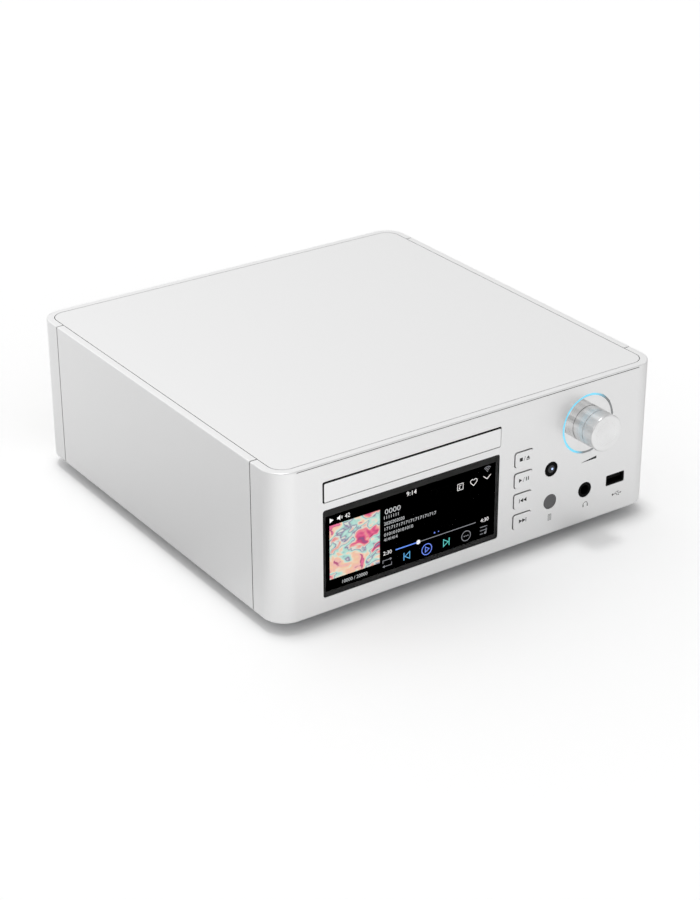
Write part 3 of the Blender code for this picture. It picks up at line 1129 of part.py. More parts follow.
def build_on_traverse(pivot, rod_y, half):
    """The guide rods, the flat spindle motor and the turntable on its shaft."""
    for name, side in (("guide_rod_left", -ROD_SPREAD), ("guide_rod_right", ROD_SPREAD)):
        bar_y = (rod_y[0] + SEAT_GAP, rod_y[1] - SEAT_GAP)
        bar = rod(bmesh.new(), ROD_RADIUS, "Y", side, ROD_Z, *bar_y, TINY_STEPS)
        finished(name, bar, "steel", (0, 0, 0), pivot)
    seat = DISC_LIFTED - HINGE_Z
    base = half + SEAT_GAP
    top = base + SPINDLE_MOTOR_HEIGHT
    shaft_end = seat + TURNTABLE_HUB_HEIGHT - TURNTABLE_CROWN
    place = (0, -TRAVERSE_BEHIND, 0)
    shaft = MOTOR_SHAFT_RADIUS
    profile = [(0, base), (SPINDLE_MOTOR_RADIUS, base), (SPINDLE_MOTOR_RADIUS, top)]
    profile += [(shaft, top), (shaft, shaft_end), (0, shaft_end)]
    finished("spindle_motor", turned(bmesh.new(), profile, "Z", 0, 0), "steel", place, pivot)
    bore, neck = shaft + GEAR_BORE_GAP, GEAR_HUB_RADIUS
    hub = DISC_HOLE_RADIUS - TURNTABLE_HUB_GAP
    low = seat - TURNTABLE_THICKNESS
    bore_end, foot = shaft_end + SEAT_GAP, top + SEAT_GAP
    profile = [(0, bore_end), (bore, bore_end), (bore, foot), (neck, foot)]
    profile += [(neck, low), (TURNTABLE_RADIUS, low), (TURNTABLE_RADIUS, seat), (hub, seat)]
    profile += [(hub, seat + TURNTABLE_HUB_HEIGHT / 2), (hub - TURNTABLE_CROWN, seat + TURNTABLE_HUB_HEIGHT)]
    profile += [(0, seat + TURNTABLE_HUB_HEIGHT)]
    finished("turntable", turned(bmesh.new(), profile, "Z", 0, 0), "black", place, pivot)


def build_sled(pivot, half):
    """The pickup sled on its rods with a rack, and the motor and pinion that move it."""
    lens_y = DISC_INNER_TRACK - TRAVERSE_BEHIND
    sled_y = (lens_y - SLED_LENS_FROM_FRONT, lens_y - SLED_LENS_FROM_FRONT + SLED_LENGTH)
    shape = block(bmesh.new(), (-SLED_HALF_WIDTH, SLED_HALF_WIDTH), sled_y, (-SLED_BELOW, half - WELD_LAP / 2))
    sled = finished("pickup_sled", shape, "black", (0, 0, 0), pivot)
    turret_top = DISC_LIFTED - SLED_TURRET_BELOW_DISC - HINGE_Z
    join(sled, rod(bmesh.new(), SLED_TURRET_RADIUS, "Z", 0, lens_y, 0, turret_top))
    rack_z = (half + RUNNING_GAP, half + RUNNING_GAP + SLED_RACK_THICKNESS)
    rack_back = SLED_HALF_WIDTH - SLED_RACK_OUT
    pitch_line = rack_back + RACK_BACK + TOOTH_MODULE
    pinion_y = sled_y[1] - SLED_PINION_FROM_BACK
    rack_start = sled_y[1] - SLED_TRAVEL - SLED_RACK_SPARE
    tooth_at = pinion_y + rack_tooth_phase()
    rack = rack_outline(pitch_line, rack_back, rack_start, sled_y[1], tooth_at, 1)
    arm_x = (rack_back - SLED_ARM_WIDTH, rack_back + WELD_LAP)
    arm_y = (sled_y[0] + WELD_LAP, sled_y[1] - WELD_LAP)
    join(sled, block(bmesh.new(), arm_x, arm_y, (0, rack_z[1] - WELD_LAP / 2)))
    join(sled, prism(bmesh.new(), rack, "Z", *rack_z))
    holes = bmesh.new()
    for side in (-ROD_SPREAD, ROD_SPREAD):
        hole_y = (sled_y[0] - CUT_OVERRUN, sled_y[1] + CUT_OVERRUN)
        rod(holes, ROD_RADIUS + ROD_GAP, "Y", side, ROD_Z, *hole_y, TINY_STEPS)
    cut(sled, holes)
    pinion_x = pitch_line + TOOTH_MODULE * SLED_PINION_TEETH / 2
    top = -half - SEAT_GAP
    base = rack_z[0]
    shaft = MOTOR_SHAFT_RADIUS
    low = top - SLED_MOTOR_LENGTH
    profile = [(0, low), (SLED_MOTOR_RADIUS, low), (SLED_MOTOR_RADIUS, top)]
    profile += [(shaft, top), (shaft, rack_z[1] + SEAT_GAP), (0, rack_z[1] + SEAT_GAP)]
    motor = turned(bmesh.new(), profile, "Z", pinion_x, pinion_y, SMALL_STEPS)
    finished("sled_motor", motor, "steel", (0, 0, 0), pivot)
    frame = bpy.data.objects["traverse_frame"]
    hole_z = (-half - CUT_OVERRUN, half + CUT_OVERRUN)
    cut(frame, rod(bmesh.new(), shaft + SEAT_GAP, "Z", pinion_x, pinion_y, *hole_z, TINY_STEPS))
    pinion = prism(bmesh.new(), gear_outline(SLED_PINION_TEETH, math.pi), "Z", 0, SLED_RACK_THICKNESS)
    pinion = finished("sled_pinion", pinion, "brass", (pinion_x, pinion_y, base), pivot)
    bore_z = (-CUT_OVERRUN, SLED_RACK_THICKNESS + CUT_OVERRUN)
    cut(pinion, rod(bmesh.new(), shaft + GEAR_BORE_GAP, "Z", 0, 0, *bore_z, TINY_STEPS))


def build_clamper(case):
    """The disc clamper hanging in the steel bridge over the tray."""
    low = DISC_LIFTED + DISC_THICKNESS + SEAT_GAP
    bridge_z = (CHASSIS_TOP + BRIDGE_LIFT, CHASSIS_TOP + BRIDGE_LIFT + BRIDGE_THICKNESS)
    flange = bridge_z[1] + SEAT_GAP
    recess = DISC_HOLE_RADIUS + RUNNING_GAP
    roof, top = low + CLAMPER_RECESS_DEPTH, flange + CLAMPER_FLANGE_THICKNESS
    profile = [(0, roof), (recess, roof), (recess, low), (CLAMPER_RADIUS, low), (CLAMPER_RADIUS, flange)]
    profile += [(CLAMPER_FLANGE_RADIUS, flange), (CLAMPER_FLANGE_RADIUS, top), (0, top)]
    finished("clamper", turned(bmesh.new(), profile, "Z", 0, 0), "black", (DISC_X, DISC_Y, 0), case)
    shape = block(bmesh.new(), about(DISC_X, 2 * CHASSIS_HALF), about(DISC_Y, BRIDGE_DEPTH), bridge_z)
    bridge = finished("clamper_bridge", shape, "steel", (0, 0, 0), case)
    hole = (bridge_z[0] - CUT_OVERRUN, bridge_z[1] + CUT_OVERRUN)
    cut(bridge, rod(bmesh.new(), CLAMPER_RADIUS + RUNNING_GAP, "Z", DISC_X, DISC_Y, *hole))


def main_board_limits():
    """The main board's limits along X and Y."""
    left = LEFT + BOARD_MARGIN
    back = REAR_FACE - REAR_PANEL_THICKNESS - SEAT_GAP
    return (left, left + MAIN_BOARD_WIDTH), (back - MAIN_BOARD_DEPTH, back)


def power_board_limits():
    """The power board's limits along X and Y."""
    right = RIGHT - BOARD_MARGIN - WALL
    front = PANEL_BACK + POWER_BOARD_FROM_FRONT
    return (right - POWER_BOARD_WIDTH, right), (front, front + POWER_BOARD_DEPTH)


def standoff_places():
    """Where the bottom plate's posts stand: under the corners of both boards."""
    places = []
    inset = 2 * STANDOFF_RADIUS
    for x, y in (main_board_limits(), power_board_limits()):
        places += [(px, py) for px in (x[0] + inset, x[1] - inset) for py in (y[0] + inset, y[1] - inset)]
    return places


def build_boards(case):
    """The main board, the power board with its heat sink, and the transformer."""
    low = BOTTOM_TOP + BOARD_STANDOFF
    high = low + BOARD_THICKNESS
    x, y = main_board_limits()
    board = finished("main_board", block(bmesh.new(), x, y, (low, high)), "board", (0, 0, 0), case)
    shield_x = (x[0] + BOARD_MARGIN, x[0] + BOARD_MARGIN + MAIN_BOARD_WIDTH * SHIELD_WIDTH_SHARE)
    shield_y = (y[0] + BOARD_MARGIN, y[0] + MAIN_BOARD_DEPTH / 2)
    parts = block(bmesh.new(), shield_x, shield_y, (high - WELD_LAP, high + SHIELD_HEIGHT))
    row_y = y[0] + MAIN_BOARD_DEPTH * CAPACITOR_ROW_DEPTH_SHARE
    for share in CAPACITOR_ROW_SHARES:
        centre = x[0] + MAIN_BOARD_WIDTH * share
        rod(parts, CAPACITOR_RADIUS, "Z", centre, row_y, high - WELD_LAP, high + CAPACITOR_HEIGHT, TINY_STEPS)
    join(board, parts)
    x, y = power_board_limits()
    board = finished("power_board", block(bmesh.new(), x, y, (low, high)), "board", (0, 0, 0), case)
    parts = bmesh.new()
    for share in HEATSINK_FIN_SHARES:
        fin = about(x[0] + POWER_BOARD_WIDTH * share, HEATSINK_FIN)
        fin_y = (y[0] + BOARD_MARGIN, y[0] + POWER_BOARD_DEPTH / 2)
        block(parts, fin, fin_y, (high - WELD_LAP, high + HEATSINK_HEIGHT))
    for share in POWER_CAPACITOR_SHARES:
        centre = (x[0] + POWER_BOARD_WIDTH * share, y[0] + POWER_BOARD_DEPTH * POWER_CAPACITOR_DEPTH_SHARE)
        rod(parts, CAPACITOR_RADIUS, "Z", *centre, high - WELD_LAP, high + CAPACITOR_HEIGHT, TINY_STEPS)
    join(board, parts)
    edge, base = TRANSFORMER_ROUNDING, BOTTOM_TOP + SEAT_GAP
    outer, hole, top = TRANSFORMER_RADIUS, TRANSFORMER_HOLE_RADIUS, base + TRANSFORMER_HEIGHT
    ring = [(outer - edge, base), (outer, base + edge), (outer, top - edge), (outer - edge, top)]
    ring += [(hole + edge, top), (hole, top - edge), (hole, base + edge), (hole + edge, base)]
    place = (RIGHT - WALL - BOARD_MARGIN - outer, INLET_START - TRANSFORMER_FROM_INLET - outer)
    finished("power_transformer", turned(bmesh.new(), ring, "Z", *place), "copper", (0, 0, 0), case)


def phono_places():
    """The middle of each phono socket along X."""
    return [LEFT + PHONO_FROM_LEFT + i * PHONO_PITCH for i in range(PHONO_COUNT)]


def build_rear(case):
    """The rear panel, and the sockets and mains inlet that go through it."""
    inside = REAR_FACE - REAR_PANEL_THICKNESS
    margin, edge = REAR_OPENING_MARGIN - REAR_PANEL_LAP, REAR_OPENING_EDGE - REAR_PANEL_LAP
    x, z = (LEFT + margin, RIGHT - margin), (edge, CASE_HEIGHT - edge)
    panel = finished("rear_panel", block(bmesh.new(), x, (inside, REAR_FACE), z), "black", (0, 0, 0), case)
    through = (inside - CUT_OVERRUN, REAR_FACE + CUT_OVERRUN)
    holes = bmesh.new()
    for centre in phono_places():
        rod(holes, PHONO_BARREL_RADIUS + SEAT_GAP, "Y", centre, PHONO_ROW_HEIGHT, *through)
    optical_x, data_x = LEFT + OPTICAL_FROM_LEFT, LEFT + DATA_FROM_LEFT
    for centre, wide, high in ((optical_x, OPTICAL_SIZE, OPTICAL_SIZE), (data_x, DATA_WIDTH, DATA_HEIGHT)):
        hole_x, hole_z = about(centre, wide + 2 * SEAT_GAP), about(PHONO_ROW_HEIGHT, high + 2 * SEAT_GAP)
        block(holes, hole_x, through, hole_z)
    inlet_x, inlet_z = RIGHT - INLET_FROM_RIGHT, PHONO_ROW_HEIGHT
    width = INLET_WIDTH + ROCKER_GAP + ROCKER_WIDTH
    block(holes, about(inlet_x, width + 2 * SEAT_GAP), through, about(inlet_z, INLET_HEIGHT + 2 * SEAT_GAP))
    cut(panel, holes)
    build_phono(case, inside)
    size, hollow = (OPTICAL_SIZE, OPTICAL_SIZE), (OPTICAL_BORE, OPTICAL_BORE)
    build_square_socket(case, "optical_socket", optical_x, size, hollow, OPTICAL_DEPTH, "black")
    hollow = (DATA_WIDTH - 2 * DATA_WALL, DATA_HEIGHT - 2 * DATA_WALL)
    build_square_socket(case, "data_socket", data_x, (DATA_WIDTH, DATA_HEIGHT), hollow, DATA_DEPTH, "steel")
    build_inlet(case, inlet_x, inlet_z, width)


def build_phono(case, inside):
    """The row of phono sockets: one moulded body on the board, with a barrel through the panel for each."""
    places = phono_places()
    half = PHONO_BODY_HEIGHT / 2
    body_x = (places[0] - half, places[-1] + half)
    body_z = (BOARD_TOP + SEAT_GAP, PHONO_ROW_HEIGHT + half)
    body_y = (inside - SEAT_GAP - PHONO_BODY_DEPTH, inside - SEAT_GAP)
    body = finished("phono_sockets", block(bmesh.new(), body_x, body_y, body_z), "black", (0, 0, 0), case)
    barrels, bores = bmesh.new(), bmesh.new()
    for centre in places:
        start = body_y[1] - WELD_LAP
        tip = REAR_FACE + PHONO_REACH
        nut = REAR_FACE + SEAT_GAP
        nut_end = nut + PHONO_NUT_THICKNESS
        profile = [(0, start), (PHONO_BARREL_RADIUS, start), (PHONO_BARREL_RADIUS, nut)]
        profile += [(PHONO_NUT_RADIUS, nut), (PHONO_NUT_RADIUS, nut_end)]
        profile += [(PHONO_BARREL_RADIUS, nut_end), (PHONO_BARREL_RADIUS, tip), (0, tip)]
        turned(barrels, profile, "Y", centre, PHONO_ROW_HEIGHT, SMALL_STEPS)
        rod(bores, PHONO_BORE_RADIUS, "Y", centre, PHONO_ROW_HEIGHT, start, tip + CUT_OVERRUN, TINY_STEPS)
    join(body, barrels)
    cut(body, bores)


def build_square_socket(case, name, x, size, hollow, depth, finish):
    """A square socket on the board, its mouth through the rear panel. Size and hollow are (width, height)."""
    end = REAR_FACE + SOCKET_PROUD
    z = about(PHONO_ROW_HEIGHT, size[1])
    body = block(bmesh.new(), about(x, size[0]), (REAR_FACE - depth, end), z)
    socket = finished(name, body, finish, (0, 0, 0), case)
    leg_y = (REAR_FACE - depth, REAR_FACE - REAR_PANEL_THICKNESS - SEAT_GAP)
    leg_z = (BOARD_TOP + SEAT_GAP, z[0] + WELD_LAP)
    join(socket, block(bmesh.new(), about(x, size[0] - 2 * WELD_LAP), (leg_y[0] + WELD_LAP, leg_y[1]), leg_z))
    mouth = (REAR_FACE - depth / 2, end + CUT_OVERRUN)
    cut(socket, block(bmesh.new(), about(x, hollow[0]), mouth, about(PHONO_ROW_HEIGHT, hollow[1])))


def build_inlet(case, x, z, width):
    """The three-pin mains inlet in one housing with the power switch, and the rocker that tilts in it."""
    left, right = x - width / 2, x + width / 2
    inlet_x = left + INLET_WIDTH / 2
    rocker_x = right - ROCKER_WIDTH / 2
    high = about(z, INLET_HEIGHT)
    flange_y = (REAR_FACE + SEAT_GAP, REAR_FACE + SEAT_GAP + INLET_FLANGE_THICKNESS)
    body = block(bmesh.new(), (left, right), (INLET_START, flange_y[1] - WELD_LAP), high)
    inlet = finished("mains_inlet", body, "black", (0, 0, 0), case)
    flange = (left - INLET_FLANGE, right + INLET_FLANGE)
    join(inlet, block(bmesh.new(), flange, flange_y, about(z, INLET_HEIGHT + 2 * INLET_FLANGE)))
    floor = INLET_START + INLET_WALL
    hollow = about(inlet_x, INLET_WIDTH - 2 * INLET_WALL)
    mouth = (floor, flange_y[1] + CUT_OVERRUN)
    cut(inlet, block(bmesh.new(), hollow, mouth, about(z, INLET_HEIGHT - 2 * INLET_WALL)))
    pins = bmesh.new()
    for column, drop in ((-1, 1), (0, -1), (1, 1)):
        pin_x = about(inlet_x + column * INLET_PIN_SPREAD, INLET_PIN_WIDTH)
        pin_z = about(z - drop * INLET_PIN_HEIGHT / 2, INLET_PIN_HEIGHT)
        block(pins, pin_x, (floor - WELD_LAP, REAR_FACE - INLET_PIN_SET_BACK), pin_z)
    join(inlet, pins)
    well = (flange_y[1] - ROCKER_BOX_DEPTH, flange_y[1] + CUT_OVERRUN)
    well_x, well_z = about(rocker_x, ROCKER_WIDTH - 2 * ROCKER_FRAME), about(z, INLET_HEIGHT - 2 * ROCKER_FRAME)
    cut(inlet, block(bmesh.new(), well_x, well, well_z))
    half = INLET_HEIGHT / 2 - ROCKER_FRAME - ROCKER_END_GAP
    outline = [(-ROCKER_DEPTH, -half / 2), (ROCKER_CROWN, -half), (ROCKER_DIP, 0), (ROCKER_CROWN, half)]
    outline.append((-ROCKER_DEPTH, half / 2))
    wide = ROCKER_WIDTH - 2 * ROCKER_FRAME - 2 * SEAT_GAP
    shape = prism(bmesh.new(), outline, "X", -wide / 2, wide / 2)
    place = (rocker_x, flange_y[1] - ROCKER_SUNK, z)
    rocker = finished("power_rocker", shape, "black", place, case)
    rocker.rotation_euler = (math.radians(ROCKER_TILT_DEGREES), 0, 0)


def main():
    """Builds the whole player under one empty at the middle of the case's lower edge."""
    clear_scene()
    case = empty("case_origin", (0, CASE_SHIFT, GROUND_CLEARANCE))
    build_case(case)
    build_feet(case)
    build_display(case)
    build_buttons(case)
    build_lenses(case)
    build_front_sockets(case)
    build_volume(case)
    build_control_board(case)
    build_chassis(case)
    build_brackets(case)
    build_tray(case)
    build_loader_drive(case)
    build_cam(case)
    build_traverse(case)
    build_clamper(case)
    build_boards(case)
    build_rear(case)


main()
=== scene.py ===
"""The looks of a desktop disc player with a sliding tray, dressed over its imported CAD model.

The frame gives every place in metres, with +X to the player's right, +Y to its back and +Z up. Sizes held in
the classes are millimetres, which MM turns into metres where a shape is made.
"""

import json
import logging
import math
from collections.abc import Callable, Iterator, Sequence
from contextlib import contextmanager
from dataclasses import dataclass
from enum import Enum

import bmesh
import bpy
from mathutils import Matrix, Vector

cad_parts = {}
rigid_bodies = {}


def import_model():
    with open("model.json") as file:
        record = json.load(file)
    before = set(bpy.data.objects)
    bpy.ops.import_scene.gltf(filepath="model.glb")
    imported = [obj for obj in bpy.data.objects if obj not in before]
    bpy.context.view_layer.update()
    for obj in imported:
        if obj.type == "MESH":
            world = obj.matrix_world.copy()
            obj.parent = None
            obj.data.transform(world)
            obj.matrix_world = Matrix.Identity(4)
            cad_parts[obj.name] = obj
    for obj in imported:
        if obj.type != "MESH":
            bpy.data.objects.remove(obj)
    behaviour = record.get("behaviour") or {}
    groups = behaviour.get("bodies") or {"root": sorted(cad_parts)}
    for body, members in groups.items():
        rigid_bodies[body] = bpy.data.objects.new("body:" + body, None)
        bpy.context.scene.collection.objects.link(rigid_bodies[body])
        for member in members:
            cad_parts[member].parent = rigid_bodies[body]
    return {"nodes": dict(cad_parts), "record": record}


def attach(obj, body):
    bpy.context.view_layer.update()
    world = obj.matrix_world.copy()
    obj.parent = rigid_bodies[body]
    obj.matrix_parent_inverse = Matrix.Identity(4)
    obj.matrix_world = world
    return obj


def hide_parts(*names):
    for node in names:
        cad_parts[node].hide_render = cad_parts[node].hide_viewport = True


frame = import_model()
MM = 0.001
# Below this radius in millimetres a ring of a turned piece is drawn together into a pole
POLE_RADIUS = 0.001
LOG = logging.getLogger("player")

Point = tuple[float, float, float]
Spot = tuple[float, float]


class Body(Enum):
    """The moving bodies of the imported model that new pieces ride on."""

    CASE = "root"
    TRAY = "tray"
    KNOB = "volume_knob"


class Carve(Enum):
    """What one shape does to another."""

    CUT = "DIFFERENCE"
    KEEP = "INTERSECT"
    JOIN = "UNION"


class Axis(Enum):
    """An axis of the frame that turned and rounded shapes follow, by its number."""

    Y = 1
    Z = 2


# Modelling helpers


def linear(code: str) -> tuple[float, float, float, float]:
    """Turns an sRGB hex colour to linear light.

    Args:
        code: six hex digits, such as D8D8D6.

    Returns:
        Red, green, blue and an alpha of one.
    """
    channels = []
    for start in (0, 2, 4):
        value = int(code[start : start + 2], 16) / 255
        channels.append(value / 12.92 if value <= 0.04045 else ((value + 0.055) / 1.055) ** 2.4)
    return (*channels, 1.0)


def focus(obj: bpy.types.Object) -> None:
    """Makes one object the only selected one, and the active one."""
    bpy.ops.object.select_all(action="DESELECT")
    obj.select_set(True)
    bpy.context.view_layer.objects.active = obj


@contextmanager
def editing(obj: bpy.types.Object) -> Iterator[None]:
    """Edit mode on one object, with nothing selected at its start."""
    focus(obj)
    bpy.ops.object.mode_set(mode="EDIT")
    bpy.ops.mesh.select_all(action="DESELECT")
    yield
    bpy.ops.object.mode_set(mode="OBJECT")


def pick(obj: bpy.types.Object, kind: str, test: Callable) -> int:
    """Selects what a test takes, in edit mode.

    Args:
        obj: the object in edit mode.
        kind: VERT, EDGE or FACE.
        test: says yes or no to one element.

    Returns:
        How many were selected.
    """
    bpy.ops.mesh.select_mode(type=kind)
    bpy.ops.mesh.select_all(action="DESELECT")
    shape = bmesh.from_edit_mesh(obj.data)
    elements = {"VERT": shape.verts, "EDGE": shape.edges, "FACE": shape.faces}[kind]
    taken = [element for element in elements if test(element)]
    for element in taken:
        element.select_set(True)
    bmesh.update_edit_mesh(obj.data)
    return len(taken)


def settled(name: str) -> bpy.types.Object:
    """Names the primitive that was just added, and moves its place into its mesh.

    Args:
        name: the new object's name.

    Returns:
        The object, at the origin, unturned and unscaled.
    """
    obj = bpy.context.object
    obj.name = name
    obj.data.name = name
    focus(obj)
    bpy.ops.object.transform_apply(location=True, rotation=True, scale=True)
    return obj


def block(name: str, low: Sequence[float], high: Sequence[float]) -> bpy.types.Object:
    """A box between two corners, in metres."""
    bpy.ops.object.select_all(action="DESELECT")
    low, high = Vector(low), Vector(high)
    bpy.ops.mesh.primitive_cube_add(size=1, location=(low + high) / 2, scale=high - low)
    return settled(name)


def rounded_block(
    name: str, low: Sequence[float], high: Sequence[float], axis: Axis, corner: float, steps: int = 6
) -> bpy.types.Object:
    """A box whose four edges along one axis are rounded.

    Args:
        name: the object's name.
        low: its lowest corner, in metres.
        high: its highest corner, in metres.
        axis: the axis that the rounded edges follow.
        corner: their radius in metres.
        steps: faces round each corner.

    Returns:
        The object.
    """
    obj = block(name, low, high)

    def along_axis(edge: bmesh.types.BMEdge) -> bool:
        """Whether an edge runs along the axis."""
        run = (edge.verts[1].co - edge.verts[0].co).normalized()
        return abs(run[axis.value]) > 0.99

    with editing(obj):
        pick(obj, "EDGE", along_axis)
        bpy.ops.mesh.bevel(offset=corner, segments=steps, affect="EDGES", clamp_overlap=False)
    return obj


def turned(
    name: str, profile: Sequence[Spot], centre: Sequence[float], axis: Axis = Axis.Y, steps: int = 64
) -> bpy.types.Object:
    """A turned piece: a circle extruded and resized from ring to ring, as on a lathe.

    Args:
        name: the object's name.
        profile: (radius, place along the axis from the centre) in millimetres. An end of radius 0 is
            a pole, and a profile with neither end on the axis is closed into a ring.
        centre: the point that the profile is measured from, in metres.
        axis: Y or Z.
        steps: faces round the piece.

    Returns:
        The object, its faces pointing outwards.
    """
    closed = profile[0][0] > 0 and profile[-1][0] > 0
    points = list(profile) + ([profile[0]] if closed else [])
    points = [(max(radius, POLE_RADIUS), along) for radius, along in points]
    direction = Vector([1.0 if axis.value == i else 0.0 for i in range(3)])
    turn = (math.pi / 2, 0, 0) if axis is Axis.Y else (0, 0, 0)
    start = Vector(centre) + direction * points[0][1] * MM
    bpy.ops.object.select_all(action="DESELECT")
    bpy.ops.mesh.primitive_circle_add(vertices=steps, radius=points[0][0] * MM, location=start, rotation=turn)
    obj = settled(name)
    with editing(obj):
        bpy.ops.mesh.select_all(action="SELECT")
        for before, after in zip(points, points[1:]):
            move = direction * (after[1] - before[1]) * MM
            bpy.ops.mesh.extrude_region_move(TRANSFORM_OT_translate={"value": move})
            share = after[0] / before[0]
            scale = [1.0 if axis.value == i else share for i in range(3)]
            ring_middle = start + direction * (after[1] - points[0][1]) * MM
            bpy.ops.transform.resize(value=scale, center_override=ring_middle)
        bpy.ops.mesh.select_all(action="SELECT")
        bpy.ops.mesh.remove_doubles(threshold=POLE_RADIUS * 3 * MM)
        bpy.ops.mesh.normals_make_consistent(inside=False)
    return obj


def plate(name: str, outline: Sequence[Spot], low: float, high: float) -> bpy.types.Object:
    """A plate that faces the front, from an outline drawn vertex by vertex.

    Args:
        name: the object's name.
        outline: (x, z) of each corner in metres, in order.
        low: its front along Y, in metres.
        high: its back along Y.

    Returns:
        The object.
    """
    bpy.ops.object.select_all(action="DESELECT")
    bpy.ops.mesh.primitive_circle_add(
        vertices=len(outline), radius=MM, fill_type="NGON", location=(0, low, 0), rotation=(math.pi / 2, 0, 0)
    )
    obj = settled(name)
    starts = [vert.co.copy() for vert in obj.data.vertices]
    with editing(obj):
        for index, (x, z) in enumerate(outline):
            pick(obj, "VERT", lambda vert: vert.index == index)
            bpy.ops.transform.translate(value=(x - starts[index].x, 0, z - starts[index].z))
        bpy.ops.mesh.select_all(action="SELECT")
        bpy.ops.mesh.extrude_region_move(TRANSFORM_OT_translate={"value": (0, high - low, 0)})
        bpy.ops.mesh.select_all(action="SELECT")
        bpy.ops.mesh.normals_make_consistent(inside=False)
    return obj


def arc(
    name: str,
    centre: Spot,
    radius: float,
    width: float,
    low: float,
    high: float,
    sweep: float = 360.0,
    start: float = 0.0,
) -> bpy.types.Object:
    """A flat ring or a part of one that faces the front, spun from one edge.

    Args:
        name: the object's name.
        centre: its (x, z) in metres.
        radius: its middle radius in metres.
        width: its width in metres.
        low: its front along Y.
        high: its back along Y.
        sweep: how many degrees it covers.
        start: where it starts, in degrees anticlockwise from the right.

    Returns:
        The object.
    """
    bpy.ops.object.select_all(action="DESELECT")
    middle_point = Vector((centre[0], low, centre[1]))
    bpy.ops.mesh.primitive_plane_add(size=width, location=middle_point)
    obj = settled(name)
    steps = max(6, int(sweep / 9))
    turn = math.radians(start)
    outward = Vector((math.cos(turn), 0, math.sin(turn)))
    with editing(obj):
        pick(obj, "VERT", lambda vert: vert.co.y > low)
        bpy.ops.mesh.delete(type="VERT")
        for side in (-1, 1):
            corner = middle_point + Vector((side, -1, 0)) * width / 2
            pick(obj, "VERT", lambda vert: (vert.co.x - middle_point.x) * side > 0 and vert.co.y < low)
            target = middle_point + outward * (radius + side * width / 2)
            bpy.ops.transform.translate(value=target - corner)
            bpy.ops.mesh.hide()
        bpy.ops.mesh.reveal()
        bpy.ops.mesh.select_all(action="SELECT")
        bpy.ops.mesh.spin(steps=steps, angle=math.radians(sweep), center=middle_point, axis=(0, 1, 0))
        bpy.ops.mesh.select_all(action="SELECT")
        bpy.ops.mesh.remove_doubles(threshold=width / 50)
        bpy.ops.mesh.extrude_region_move(TRANSFORM_OT_translate={"value": (0, high - low, 0)})
        bpy.ops.mesh.select_all(action="SELECT")
        bpy.ops.mesh.normals_make_consistent(inside=False)
    return obj


def discard(*objects: bpy.types.Object) -> None:
    """Removes shapes that have served as models or tools."""
    for obj in objects:
        bpy.data.objects.remove(obj, do_unlink=True)


def carve(obj: bpy.types.Object, tool: bpy.types.Object, work: Carve = Carve.CUT) -> bpy.types.Object:
    """Cuts, keeps or joins with a tool shape, which is then removed.

    Args:
        obj: the piece that is worked on.
        tool: the shape that works on it.
        work: what the tool does.

    Returns:
        The piece.
    """
    step = obj.modifiers.new("carve", "BOOLEAN")
    step.operation = work.value
    step.solver = "EXACT"
    step.object = tool
    focus(obj)
    bpy.ops.object.modifier_apply(modifier=step.name)
    discard(tool)
    return obj


def soften(obj: bpy.types.Object, width: float, steps: int = 3, sharp: float = 40.0) -> bpy.types.Object:
    """Rounds a piece's sharp edges a little, and shades it smooth with flat faces kept flat.

    Args:
        obj: the piece.
        width: the rounding in metres.
        steps: faces across each rounding.
        sharp: the angle in degrees past which an edge is rounded.

    Returns:
        The piece.
    """
    edge = obj.modifiers.new("edge", "BEVEL")
    edge.width = width
    edge.segments = steps
    edge.limit_method = "ANGLE"
    edge.angle_limit = math.radians(sharp)
    edge.use_clamp_overlap = False
    focus(obj)
    bpy.ops.object.modifier_apply(modifier=edge.name)
    return smooth(obj)


def smooth(obj: bpy.types.Object, sharp: float = 38.0) -> bpy.types.Object:
    """Shades a piece smooth up to an angle, its normals weighted by the size of its faces."""
    focus(obj)
    bpy.ops.object.shade_smooth_by_angle(angle=math.radians(sharp))
    weight = obj.modifiers.new("weight", "WEIGHTED_NORMAL")
    weight.keep_sharp = True
    bpy.ops.object.modifier_apply(modifier=weight.name)
    return obj


def joined(name: str, pieces: Sequence[bpy.types.Object]) -> bpy.types.Object:
    """Joins several objects into one, under a name of its own."""
    focus(pieces[0])
    for piece in pieces[1:]:
        piece.select_set(True)
    bpy.ops.object.join()
    obj = bpy.context.object
    obj.name = name
    obj.data.name = name
    return obj


# Finishes


def add_node(
    tree: bpy.types.NodeTree, kind: str, inputs: dict | None = None, **settings: object
) -> bpy.types.Node:
    """Adds a node with its settings, and fills or links its inputs.

    Args:
        tree: the node tree.
        kind: the node's type.
        inputs: values, or sockets to link from, by input name or number.
        settings: the node's own settings.

    Returns:
        The node.
    """
    node = tree.nodes.new(kind)
    for name, value in settings.items():
        setattr(node, name, value)
    for key, value in (inputs or {}).items():
        if isinstance(value, bpy.types.NodeSocket):
            tree.links.new(value, node.inputs[key])
        else:
            node.inputs[key].default_value = value
    return node


def set_ramp(node: bpy.types.Node, stops: Sequence[tuple[float, str]]) -> None:
    """Sets a colour ramp's stops.

    Args:
        node: the ramp.
        stops: (place from 0 to 1, sRGB hex colour) of each stop, in order.
    """
    elements = node.color_ramp.elements
    while len(elements) < len(stops):
        elements.new(0.5)
    for element, (place, code) in zip(elements, stops):
        element.position = place
        element.color = linear(code)


